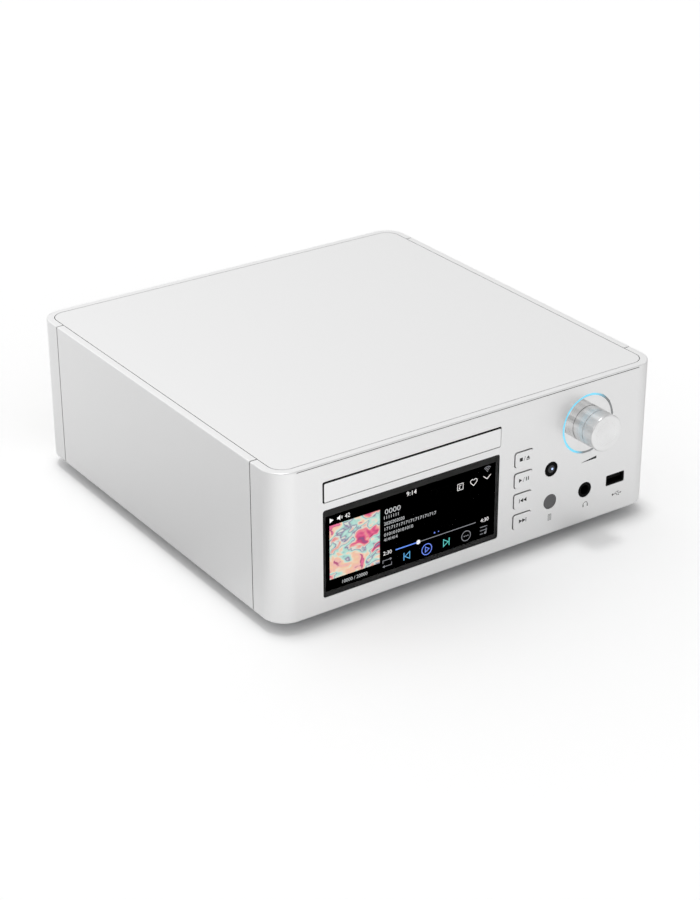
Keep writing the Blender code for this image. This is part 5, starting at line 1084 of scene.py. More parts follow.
@dataclass
class Case:
    """The machined case: a thick front, two sides and a back frame round a top and a bottom plate."""

    half_width: float = 145.0
    front: float = -138.9
    back: float = 153.1
    low: float = 8.0
    high: float = 108.0
    corner: float = 15.3
    edge: float = 0.9
    wall: float = 8.0
    front_wall: float = 10.0
    rim: float = 5.1
    seam: float = 0.7
    cover_gap: float = 0.4
    plate: float = 4.0
    floor_step: float = 3.9
    front_end: float = -112.7
    rear_start: float = 127.7
    beyond: float = 4.0
    skin: float = 4.0
    line_wide: float = 0.35
    line_deep: float = 0.4
    # The black strip in the hairline is painted shade
    shade_strip_low: float = 0.34
    shade_strip_high: float = 0.01
    shade_strip_start: float = 0.12
    shade_strip_end: float = 0.38
    pocket_low: Spot = (26.7, 17.0)
    pocket_high: Spot = (130.0, 98.0)
    rear_low: Point = (-128.0, 120.0, 18.0)
    rear_high: Point = (128.0, 200.0, 98.0)
    steps: int = 24

    def build(self) -> None:
        """Builds the four walls from one shell, and the top plate."""
        shell = self.shell()
        side = (self.front_end + self.seam, self.rear_start - self.seam)
        limits = {
            "front_panel": ((-200, -200), (200, self.front_end)),
            "left_side_panel": ((-200, side[0]), (0, side[1])),
            "right_side_panel": ((0, side[0]), (200, side[1])),
            "rear_frame": ((-200, self.rear_start), (200, 200)),
        }
        for node, (low, high) in limits.items():
            wall = copied(shell, node.replace("panel", "wall"))
            carve(wall, block("slab", *span((*low, 0), (*high, 120))), Carve.KEEP)
            if node == "front_panel":
                self.open_front(wall)
                self.edge_line(wall)
            if node == "rear_frame":
                self.open_rear(wall)
            soften(wall, 0.12 * MM, 2)
            fitted(wall, CASE_METAL, replaced=[node])
        discard(shell)
        self.gaskets()
        self.top()

    def shell(self) -> bpy.types.Object:
        """The outer block with rounded corners, hollow, with the steps that the plates lie in."""
        low, high = (-self.half_width, self.front, self.low), (self.half_width, self.back, self.high)
        shell = rounded_block("shell", *span(low, high), Axis.Z, self.corner * MM, self.steps)
        ends = (self.low * MM, self.high * MM)

        def rim_edge(edge: bmesh.types.BMEdge) -> bool:
            """Whether an edge lies round the top or the bottom."""
            heights = [vert.co.z for vert in edge.verts]
            return any(abs(heights[0] - end) < 1e-6 and abs(heights[1] - end) < 1e-6 for end in ends)

        with editing(shell):
            pick(shell, "EDGE", rim_edge)
            bpy.ops.mesh.bevel(offset=self.edge * MM, segments=4, affect="EDGES", clamp_overlap=False)
        inner_low = (-self.half_width + self.wall, self.front + self.front_wall, self.low - self.beyond)
        inner_high = (self.half_width - self.wall, self.back - self.wall, self.high + self.beyond)
        carve(shell, block("hollow", *span(inner_low, inner_high)))
        carve(shell, self.recess(self.high - self.plate - 0.3, self.high + self.beyond, 0.0))
        carve(shell, self.recess(self.low - self.beyond, self.low + self.floor_step, 0.0))
        return shell

    def recess(self, start: float, end: float, gap: float, name: str = "recess") -> bpy.types.Object:
        """A block with the outline of the plates, drawn in by a gap."""
        inset = self.rim + gap
        low = (-self.half_width + inset, self.front + inset, start)
        high = (self.half_width - inset, self.back - inset, end)
        return rounded_block(name, *span(low, high), Axis.Z, (self.corner - inset) * MM, self.steps)

    def top(self) -> None:
        """The plate let into the top, with a narrow seam round it."""
        plate_piece = self.recess(self.high - self.plate, self.high, self.cover_gap, "top_cover")
        soften(plate_piece, 0.15 * MM, 2)
        fitted(plate_piece, CASE_METAL, replaced=["top_plate"])

    def edge_line(self, wall: bpy.types.Object) -> None:
        """A hairline cut along the front, where its rounded top edge starts, with a black strip in it that is
        painted shade for the dark line along the edge.
        """
        reach = self.half_width - self.corner
        low = (-reach, self.front - 1, self.high - self.edge - self.line_wide)
        high = (reach, self.front + self.line_deep, self.high - self.edge)
        carve(wall, block("hairline", *span(low, high)))
        # Painted shade: a black strip in the cut darkens the line along the edge
        low = (-reach, self.front + self.shade_strip_start, self.high - self.edge - self.shade_strip_low)
        high = (reach, self.front + self.shade_strip_end, self.high - self.edge - self.shade_strip_high)
        fitted(block("front_edge_joint", *span(low, high)), RUBBER)

    def gaskets(self) -> None:
        """Thin black strips in the four upright seams, a little behind the surface."""
        near, deep = self.half_width - 0.3, self.half_width - self.wall + 0.2
        for side, name in ((-1, "left"), (1, "right")):
            for start, end in ((self.front_end, "front"), (self.rear_start - self.seam, "rear")):
                low = (min(side * near, side * deep), start + 0.01, self.low + 0.9)
                high = (max(side * near, side * deep), start + self.seam - 0.01, self.high - 0.9)
                strip = block(f"{name}_{end}_gasket", *span(low, high))
                fitted(strip, RUBBER)

    def open_rear(self, wall: bpy.types.Object) -> None:
        """The wide opening of the back frame."""
        carve(wall, block("opening", *span(self.rear_low, self.rear_high)))

    def open_front(self, wall: bpy.types.Object) -> None:
        """Cuts the pocket behind the controls and every opening of the front."""
        skin = self.front + self.skin
        inside = self.front + self.front_wall + self.beyond
        low = (self.pocket_low[0], skin, self.pocket_low[1])
        high = (self.pocket_high[0], inside, self.pocket_high[1])
        carve(wall, block("pocket", *span(low, high)))
        out = self.front - self.beyond
        for middle_x, middle_z, wide, tall, corner in FRONT_SLOTS:
            low = (middle_x - wide / 2, out, middle_z - tall / 2)
            high = (middle_x + wide / 2, inside, middle_z + tall / 2)
            carve(wall, rounded_block("slot", *span(low, high), Axis.Y, corner * MM, 8))
        for middle_x, middle_z, radius, depth in FRONT_HOLES:
            carve(wall, drum("hole", (middle_x, middle_z), radius, out, self.front + depth))


# Openings of the front: middle x, middle z, width, height and corner of each, in millimetres
BUTTON_Z = (68.8, 54.3, 39.8, 25.3)
BUTTON_X = 37.7
FRONT_SLOTS = (
    (-46.35, 88.7, 131.5, 14.0, 1.2),
    (-46.65, 47.6, 130.7, 58.6, 1.6),
    *((BUTTON_X, z, 14.6, 10.7, 1.9) for z in BUTTON_Z),
    (114.4, 32.2, 15.2, 7.4, 0.8),
)
# Round ones: middle x, middle z, radius and depth
FRONT_HOLES = (
    (60.4, 54.5, 5.1, 14.0),
    (60.4, 31.5, 5.1, 14.0),
    (89.0, 31.5, 5.3, 14.0),
    (89.0, 78.6, 4.8, 14.0),
    (89.0, 78.6, 20.4, 3.4),
)


def drum(name: str, place: Spot, radius: float, low: float, high: float, steps: int = 64) -> bpy.types.Object:
    """A plain round bar along Y, between two places in millimetres."""
    profile = [(0, low), (radius, low), (radius, high), (0, high)]
    return turned(name, profile, Vector((place[0], 0, place[1])) * MM, steps=steps)


def copied(obj: bpy.types.Object, name: str, shift: Sequence[float] = (0, 0, 0)) -> bpy.types.Object:
    """A copy with a mesh of its own, moved by a shift in metres.

    Args:
        obj: the piece that is copied.
        name: the copy's name.
        shift: how far the copy is moved.

    Returns:
        The copy, its place in its mesh.
    """
    focus(obj)
    bpy.ops.object.duplicate()
    twin = bpy.context.object
    twin.name = name
    twin.data.name = name
    bpy.ops.transform.translate(value=shift)
    bpy.ops.object.transform_apply(location=True, rotation=True, scale=True)
    return twin


# Printed and lit marks


def offset_line(points: Sequence[Spot], shift: float, closed: bool) -> list[Spot]:
    """A line beside another, mitred at its corners.

    Args:
        points: the line's corners.
        shift: how far beside it, positive to the left of its run.
        closed: whether its end joins its start.

    Returns:
        The corners of the line beside it.
    """
    count = len(points)
    beside = []
    for index, point in enumerate(points):
        here = Vector(point)
        runs = []
        if closed or index > 0:
            runs.append((here - Vector(points[index - 1])).normalized())
        if closed or index < count - 1:
            runs.append((Vector(points[(index + 1) % count]) - here).normalized())
        normals = [Vector((-run.y, run.x)) for run in runs]
        mean = sum(normals, Vector((0, 0))).normalized()
        reach = shift / max(0.35, mean.dot(normals[0]))
        beside.append(tuple(here + mean * reach))
    return beside


@dataclass(frozen=True)
class MarkPlane:
    """A plane facing the front that marks are laid on, its face and its marks' thickness in millimetres."""

    face: float
    thickness: float
    finish: Finish
    slot: str
    body: str = "root"

    def limits(self) -> tuple[float, float]:
        """The marks' front and back, in metres: they stand on the plane and are let into it a little."""
        return (self.face - self.thickness) * MM, (self.face + self.thickness * 0.4) * MM

    def shape(self, points: Sequence[Spot]) -> bpy.types.Object:
        """A filled shape from its corners in millimetres."""
        return plate("shape", [(x * MM, z * MM) for x, z in points], *self.limits())

    def bar(self, x: float, z: float, wide: float, tall: float) -> bpy.types.Object:
        """A filled bar about a middle, in millimetres."""
        near, far = self.limits()
        low = ((x - wide / 2) * MM, near, (z - tall / 2) * MM)
        high = ((x + wide / 2) * MM, far, (z + tall / 2) * MM)
        return block("bar", low, high)

    def stroke(self, points: Sequence[Spot], width: float, closed: bool = False) -> bpy.types.Object:
        """A line of one width along its corners, in millimetres."""
        left = offset_line(points, width / 2, closed)
        right = offset_line(points, -width / 2, closed)
        if not closed:
            return self.shape([*left, *reversed(right)])
        outer, inner = (left, right) if abs(area(left)) > abs(area(right)) else (right, left)
        near, far = self.limits()
        hole = plate("hole", [(x * MM, z * MM) for x, z in inner], near - MM, far + MM)
        return carve(self.shape(outer), hole)

    def curve(
        self, x: float, z: float, radius: float, width: float, sweep: float = 360, start: float = 0
    ) -> bpy.types.Object:
        """A part of a ring about a middle, in millimetres and degrees."""
        return arc("curve", (x * MM, z * MM), radius * MM, width * MM, *self.limits(), sweep, start)

    def dot(self, x: float, z: float, radius: float) -> bpy.types.Object:
        """A filled round dot."""
        near, far = self.limits()
        profile = [(0, 0), (radius, 0), (radius, (far - near) / MM), (0, (far - near) / MM)]
        return turned("dot", profile, (x * MM, near, z * MM), steps=24)

    def figures(self, text: str, x: float, z: float, height: float, wide: float = 0.0) -> bpy.types.Object:
        """Figures about a middle, of a height and, if given, drawn to a width, in millimetres."""
        bpy.ops.object.select_all(action="DESELECT")
        bpy.ops.object.text_add(location=(0, 0, 0), rotation=(math.pi / 2, 0, 0))
        obj = bpy.context.object
        obj.data.body = text
        obj.data.size = height * MM / 0.70
        obj.data.resolution_u = 3
        obj.data.align_x = "CENTER"
        obj.data.align_y = "CENTER"
        near, far = self.limits()
        obj.data.extrude = (far - near) / 2
        bpy.ops.object.convert(target="MESH")
        share = wide * MM / obj.dimensions.x if wide else 1.0
        bpy.ops.transform.resize(value=(share, 1, 1))
        bpy.ops.transform.translate(value=(x * MM, (near + far) / 2, z * MM))
        obj = settled("figures")
        with editing(obj):
            bpy.ops.mesh.select_all(action="SELECT")
            bpy.ops.mesh.remove_doubles(threshold=1e-6)
        return obj

    def lay(self, name: str, pieces: Sequence[bpy.types.Object], finish: Finish | None = None) -> None:
        """Joins marks into one named piece and fits it."""
        fitted(joined(name, pieces), finish or self.finish, self.body)


def area(points: Sequence[Spot]) -> float:
    """The signed area inside a closed line."""
    pairs = zip(points, [*points[1:], points[0]])
    return sum(x1 * z2 - x2 * z1 for (x1, z1), (x2, z2) in pairs) / 2


@dataclass
class Display:
    """The window, its printed border, and the screen's picture, figures and icons."""

    left: float = -111.7
    right: float = 18.4
    low: float = 18.6
    high: float = 76.6
    corner: float = 1.3
    glass_back: float = -138.65
    screen_face: float = -138.5
    screen_back: float = -136.65
    reveal: float = 0.27
    ink: float = 0.08
    mark: float = 0.04
    lit_left: float = -110.1
    lit_right: float = 16.0
    lit_low: float = 21.9
    lit_high: float = 72.3

    def build(self) -> None:
        """Builds the glass, the border, the panel bonded to it and everything the screen shows."""
        self.glass()
        self.border()
        self.panel()
        self.screen = MarkPlane(self.screen_face, self.mark, WHITE_DOTS, "screen")
        self.picture()
        self.status()
        self.lines()
        self.progress()
        self.transport()
        self.extras()

    def glass(self) -> None:
        """The window glass with its ground edge."""
        low, high = (self.left, -138.9, self.low), (self.right, self.glass_back, self.high)
        pane = rounded_block("window_pane", *span(low, high), Axis.Y, self.corner * MM, 8)
        soften(pane, 0.08 * MM, 2)
        fitted(pane, WINDOW_GLASS, replaced=["display_window"])

    def panel(self) -> None:
        """The black panel bonded behind the glass, which fills the opening."""
        low = (self.left - self.reveal, self.screen_face, self.low - self.reveal)
        high = (self.right + self.reveal, self.screen_back, self.high + self.reveal)
        panel = rounded_block("screen_panel", *span(low, high), Axis.Y, self.corner * MM, 8)
        fitted(smooth(panel), SCREEN_BLACK, replaced=["display_window"])

    def border(self) -> None:
        """The border printed on the back of the glass, open where the screen is lit."""
        low = (self.left + 0.1, self.glass_back + 0.02, self.low + 0.1)
        high = (self.right - 0.1, self.glass_back + 0.02 + self.ink, self.high - 0.1)
        ink = rounded_block("window_border", *span(low, high), Axis.Y, self.corner * MM, 8)
        low = (self.lit_left, self.glass_back - 2, self.lit_low)
        high = (self.lit_right, self.glass_back + 2, self.lit_high)
        carve(ink, block("lit_area", *span(low, high)))
        fitted(ink, BORDER_INK)

    def picture(self) -> None:
        """The square picture at the left."""
        picture = self.screen.bar(-89.1, 47.25, 36.2, 36.3)
        picture.name = "screen_picture"
        fitted(picture, PICTURE)

    def status(self) -> None:
        """The row of small marks along the screen's top."""
        plane = self.screen
        play = plane.shape([(-107.0, 67.2), (-107.0, 70.4), (-104.2, 68.8)])
        cone = [(-101.7, 68.2), (-101.7, 69.6), (-100.7, 69.6), (-99.5, 70.7), (-99.5, 67.1), (-100.7, 68.2)]
        waves = [plane.curve(-99.6, 68.9, radius, 0.3, 80, -40) for radius in (0.8, 1.5)]
        level = plane.figures("42", -94.3, 68.7, 2.9, 3.6)
        clock = plane.figures("9:14", -47.8, 69.7, 3.0, 7.4)
        plane.lay("screen_status", [play, plane.shape(cone), *waves, level, clock])
        radio = [plane.curve(9.7, 67.4, radius, 0.4, 90, 45) for radius in (1.3, 2.4, 3.5)]
        plane.lay("screen_signal", [*radio, plane.dot(9.7, 67.6, 0.4)], DIM_DOTS)
        plane.lay("screen_tick", [plane.stroke([(6.7, 64.9), (9.5, 62.5), (12.3, 64.9)], 0.45)])
        frame_line = plane.stroke([(-13.1, 60.9), (-8.9, 60.9), (-8.9, 65.1), (-13.1, 65.1)], 0.35, True)
        note = plane.stroke([(-11.5, 62.0), (-11.5, 64.0), (-10.2, 64.0)], 0.3)
        plane.lay("screen_square_icon", [frame_line, note, plane.dot(-11.7, 62.0, 0.4)])
        halves = [plane.stroke(heart(-0.7, 63.3, 2.6, side), 0.4) for side in (-1, 1)]
        plane.lay("screen_heart_icon", halves)

    def lines(self) -> None:
        """Rows of zeros as placeholders for a title and its details, and the figures under the picture."""
        plane = self.screen
        rows = [plane.figures("0000", -61.6, 62.4, 3.4, 11.6)]
        rows.append(plane.figures("1111111", -62.6, 58.6, 2.2, 10.6))
        rows.append(plane.figures("2020202020", -60.4, 54.5, 2.2, 15.0))
        rows.append(plane.figures("1717171717171717171717", -48.6, 50.8, 2.2, 38.4))
        rows.append(plane.figures("0101010101010", -57.1, 46.9, 2.2, 21.4))
        rows.append(plane.figures("4141414", -62.9, 43.5, 2.2, 10.0))
        rows.append(plane.figures("10000 / 20000", -89.4, 25.0, 2.3, 18.2))
        plane.lay("screen_lines", rows, LINE_DOTS)

    def progress(self) -> None:
        """The bar that shows how far the disc has played, with the times at its ends."""
        plane = self.screen
        times = [plane.figures("2:30", -65.3, 34.3, 2.6), plane.figures("4:30", 8.5, 34.2, 2.6)]
        plane.lay("screen_times", times)
        plane.lay("screen_bar_rest", [plane.bar(-20.0, 34.4, 43.2, 0.5)], DIM_DOTS)
        plane.lay("screen_bar_played", [plane.bar(-50.9, 34.4, 16.8, 0.8)], BLUE_DOTS)
        plane.lay("screen_bar_knob", [plane.dot(-42.3, 34.4, 1.5)])
        plane.lay("screen_page_dots", [plane.dot(-30.1, 37.1, 0.55), plane.dot(-27.1, 37.1, 0.4)], BLUE_DOTS)

    def transport(self) -> None:
        """The buttons drawn along the screen's lower edge."""
        plane = self.screen
        ring = plane.curve(-35.8, 27.4, 3.7, 0.6)
        play = plane.stroke([(-36.9, 25.6), (-36.9, 29.2), (-34.0, 27.4)], 0.5, True)
        plane.lay("screen_play_icon", [ring, play], BLUE_DOTS)
        for name, x, side in (("screen_previous_icon", -50.7, -1), ("screen_next_icon", -21.1, 1)):
            post = plane.bar(x + side * 2.3, 27.6, 0.6, 5.2)
            corners = [(x - side * 2.0, 30.0), (x - side * 2.0, 25.2), (x + side * 1.6, 27.6)]
            plane.lay(name, [post, plane.stroke(corners, 0.5, True)], SEA_DOTS)

    def extras(self) -> None:
        """The dim marks for repeating, for more and for the list."""
        plane = self.screen
        more = [plane.curve(-5.7, 27.3, 3.4, 0.45)]
        more += [plane.dot(-5.7 + shift, 27.3, 0.42) for shift in (-1.4, 0.0, 1.4)]
        rows = [plane.bar(7.9 - 1.6 * (z < 27), z, 5.6 - 3.2 * (z < 27), 0.45) for z in (29.6, 27.2, 24.8)]
        note = [plane.bar(9.9, 26.5, 0.4, 3.4), plane.dot(9.2, 24.9, 0.8)]
        loop = [plane.stroke([(-68.6, 27.7), (-68.6, 29.6), (-63.4, 29.6)], 0.45)]
        loop.append(plane.stroke([(-62.2, 27.3), (-62.2, 25.4), (-67.4, 25.4)], 0.45))
        loop.append(plane.shape([(-63.4, 28.6), (-63.4, 30.6), (-61.9, 29.6)]))
        loop.append(plane.shape([(-67.4, 24.4), (-67.4, 26.4), (-68.9, 25.4)]))
        plane.lay("screen_dim_icons", [*more, *rows, *note, *loop], DIM_DOTS)


def heart(x: float, z: float, half: float, side: int, steps: int = 12) -> list[Spot]:
    """The right half (side 1) or left half (side -1) of a heart's outline, from its notch to its tip."""
    points = []
    for index in range(steps):
        turn = 0.45 + (math.pi - 0.75) * index / (steps - 1)
        across = side * math.sin(turn) ** 3
        up = (13 * math.cos(turn) - 5 * math.cos(2 * turn) - 2 * math.cos(3 * turn) - math.cos(4 * turn)) / 16
        points.append((x + half * across, z + half * up))
    return points


@dataclass
class TrayFront:
    """The metal front of the disc tray."""

    low: Point = (-110.9, -138.9, 82.05)
    high: Point = (19.2, -137.7, 94.35)
    corner: float = 0.9
    back: float = -133.9
    inset: float = 0.35
    liner_low: Point = (-112.08, -138.3, 81.72)
    liner_high: Point = (19.38, -129.2, 95.68)
    liner_corner: float = 1.2
    mouth_low: Point = (-111.85, -145.0, 81.92)
    mouth_high: Point = (19.2, -120.0, 95.48)

    def build(self) -> None:
        """A metal bar with broken edges on a black carrier, which both move with the tray."""
        bar = rounded_block("tray_front", *span(self.low, self.high), Axis.Y, self.corner * MM, 6)
        soften(bar, 0.2 * MM, 3)
        fitted(bar, FASCIA_METAL, Body.TRAY, ["tray_fascia"])
        low = (self.low[0] + self.inset, self.high[1], self.low[2] + self.inset)
        high = (self.high[0] - self.inset, self.back, self.high[2] - self.inset)
        carrier = rounded_block("tray_front_carrier", *span(low, high), Axis.Y, self.corner * MM, 6)
        fitted(smooth(carrier), DEEP_PLASTIC, Body.TRAY, ["tray_fascia"])
        self.liner()

    def liner(self) -> None:
        """A thin black lining of the opening, which darkens the gap round the tray's front."""
        corners = span(self.liner_low, self.liner_high)
        sleeve = rounded_block("slot_liner", *corners, Axis.Y, self.liner_corner * MM, 6)
        carve(sleeve, block("opening", *span(self.mouth_low, self.mouth_high)))
        fitted(sleeve, DEEP_PLASTIC)


@dataclass
class ButtonColumn:
    """Four capped buttons with printed symbols."""

    wide: float = 13.8
    tall: float = 9.9
    corner: float = 1.6
    face: float = -139.8
    cap_end: float = -137.6
    flange_start: float = -134.6
    flange_end: float = -133.6
    flange: float = 1.3
    stem: float = 1.5
    stem_end: float = -128.1

    def build(self) -> None:
        """Models one cap and its carrier, copies them down the column and prints each one's symbol."""
        first, holder = self.cap(), self.carrier()
        symbols = (self.stop_and_open, self.play_and_pause, self.back, self.ahead)
        for index, (z, symbol) in enumerate(zip(BUTTON_Z, symbols), start=1):
            body = f"button_{index}"
            shift = (0, 0, (z - BUTTON_Z[0]) * MM)
            fitted(copied(first, f"{body}_cap", shift), CASE_METAL, body, [body])
            fitted(copied(holder, f"{body}_carrier", shift), DEEP_PLASTIC, body, [body])
            plane = MarkPlane(self.face, 0.02, PRINT_INK, "case_aluminium", body)
            plane.lay(f"{body}_symbol", symbol(plane, z))
        discard(first, holder)

    def body(self, name: str, gap: float, start: float, end: float) -> bpy.types.Object:
        """A block with the button's outline, drawn in by a gap, between two places along Y."""
        x, z = BUTTON_X, BUTTON_Z[0]
        low = (x - self.wide / 2 + gap, start, z - self.tall / 2 + gap)
        high = (x + self.wide / 2 - gap, end, z + self.tall / 2 - gap)
        return rounded_block(name, *span(low, high), Axis.Y, (self.corner - gap) * MM, 8)

    def cap(self) -> bpy.types.Object:
        """The metal cap."""
        return soften(self.body("cap", 0.0, self.face, self.cap_end), 0.22 * MM, 3)

    def carrier(self) -> bpy.types.Object:
        """The black carrier that the cap is glued to, with its flange and stem."""
        x, z = BUTTON_X, BUTTON_Z[0]
        carrier = self.body("carrier", 0.2, self.cap_end, self.flange_end - 0.2)
        low = (x - self.wide / 2 - self.flange, self.flange_start, z - self.tall / 2 - self.flange)
        high = (x + self.wide / 2 + self.flange, self.flange_end, z + self.tall / 2 + self.flange)
        carve(carrier, block("flange", *span(low, high)), Carve.JOIN)
        carve(carrier, drum("stem", (x, z), self.stem, self.flange_end - 0.4, self.stem_end, 24), Carve.JOIN)
        return soften(carrier, 0.15 * MM, 2)

    def slash(self, plane: MarkPlane, z: float) -> bpy.types.Object:
        """The slanted line between two symbols."""
        return plane.stroke([(BUTTON_X - 0.6, z - 1.5), (BUTTON_X + 0.6, z + 1.5)], 0.28)

    def stop_and_open(self, plane: MarkPlane, z: float) -> list[bpy.types.Object]:
        """A square, and a triangle over a bar."""
        x = BUTTON_X
        up = plane.shape([(x + 1.5, z - 0.5), (x + 4.3, z - 0.5), (x + 2.9, z + 1.4)])
        square, line = plane.bar(x - 2.6, z, 2.4, 2.4), self.slash(plane, z)
        return [square, line, up, plane.bar(x + 2.9, z - 1.2, 2.8, 0.5)]

    def play_and_pause(self, plane: MarkPlane, z: float) -> list[bpy.types.Object]:
        """A triangle to the right, and two bars."""
        x = BUTTON_X
        play = plane.shape([(x - 3.8, z - 1.4), (x - 3.8, z + 1.4), (x - 1.4, z)])
        return [play, self.slash(plane, z), plane.bar(x + 2.0, z, 0.7, 2.6), plane.bar(x + 3.6, z, 0.7, 2.6)]

    def skip(self, plane: MarkPlane, z: float, side: int) -> list[bpy.types.Object]:
        """Two triangles and a bar, to the right for side 1 and to the left for side -1."""
        x = BUTTON_X
        pieces = [plane.bar(x + side * 2.9, z, 0.5, 2.8)]
        for start in (-2.7, -0.1):
            blunt, tip = x + side * start, x + side * (start + 2.6)
            pieces.append(plane.shape([(blunt, z - 1.4), (blunt, z + 1.4), (tip, z)]))
        return pieces

    def back(self, plane: MarkPlane, z: float) -> list[bpy.types.Object]:
        """The skip symbol to the left."""
        return self.skip(plane, z, -1)

    def ahead(self, plane: MarkPlane, z: float) -> list[bpy.types.Object]:
        """The skip symbol to the right."""
        return self.skip(plane, z, 1)


@dataclass
class VolumeControl:
    """The volume knob, the polished disc behind it and the ring of light."""

    place: Spot = (89.0, 78.6)
    front: float = -138.9
    radius: float = 12.3
    reach: float = 17.9
    standoff: float = -0.2
    well_depth: float = 1.4
    edge: float = 1.0
    dish: float = 8.8
    dish_depth: float = 0.7
    groove: float = 9.2
    groove_width: float = 0.5
    wall: float = 2.8
    skirt: float = 5.0
    bore: float = 3.25
    ring: float = 20.25
    ring_width: float = 0.95
    depth: float = 3.0
    gap: float = 0.15
    well_gap: float = 0.15
    steps: int = 128

    def build(self) -> None:
        """Builds the knob, the disc, the ring and the mark under them."""
        centre = Vector((self.place[0], self.front, self.place[1])) * MM
        knob = smooth(turned("volume_control_knob", self.knob_profile(), centre, steps=self.steps))
        fitted(knob, KNOB_METAL_AND_PAINTED_SHADE, Body.KNOB, ["volume_knob"])
        inner = self.ring - self.ring_width
        ring = [(self.ring, 0.05), (self.ring - 0.05, 0), (inner + 0.05, 0), (inner, 0.05)]
        ring += [(inner, self.depth), (self.ring, self.depth)]
        guide = smooth(turned("volume_light_guide", ring, centre, steps=self.steps))
        fitted(guide, RING_GUIDE, replaced=["light_ring"])
        rim = inner - self.gap
        well = self.radius + self.well_gap
        plate_profile = [(rim, 0.12), (rim - 0.12, 0), (well + 0.02, 0), (well, 0.02)]
        plate_profile.append((well, self.well_depth))
        plate_profile += [(3.5, self.well_depth), (3.5, self.depth), (rim, self.depth)]
        disc = smooth(turned("volume_backing_disc", plate_profile, centre, steps=self.steps))
        fitted(disc, DISC_METAL, replaced=["knob_disc"])
        plane = MarkPlane(self.front, 0.02, PRINT_INK, "case_aluminium")
        wedge = plane.shape([(84.3, 51.7), (97.4, 53.5), (97.4, 51.7)])
        plane.lay("volume_wedge_mark", [wedge])

    def knob_profile(self) -> list[Spot]:
        """The knob's outline: a dished face, a rounded edge, a groove and a hollow back."""
        face, back = -self.reach, -self.standoff
        points = [(0, face + self.dish_depth)]
        for share in (0.2, 0.4, 0.6, 0.8):
            points.append((self.dish * share, face + self.dish_depth * (1 - share**2)))
        points += [(self.dish - 0.12, face + 0.03), (self.dish + 0.1, face)]
        for step in range(7):
            turn = math.radians(90 * step / 6)
            corner = self.radius - self.edge
            points.append((corner + self.edge * math.sin(turn), face + self.edge * (1 - math.cos(turn))))
        start = -self.groove
        end = start + self.groove_width
        points += [(self.radius, start), (self.radius - 0.5, start + 0.08), (self.radius - 0.5, end - 0.08)]
        points += [(self.radius, end), (self.radius, back - 0.3), (self.radius - 0.3, back)]
        points += [(self.radius - self.wall, back), (self.radius - self.wall, back - self.skirt)]
        points += [(self.bore, back - self.skirt), (self.bore, face + self.wall), (0, face + self.wall)]
        return points


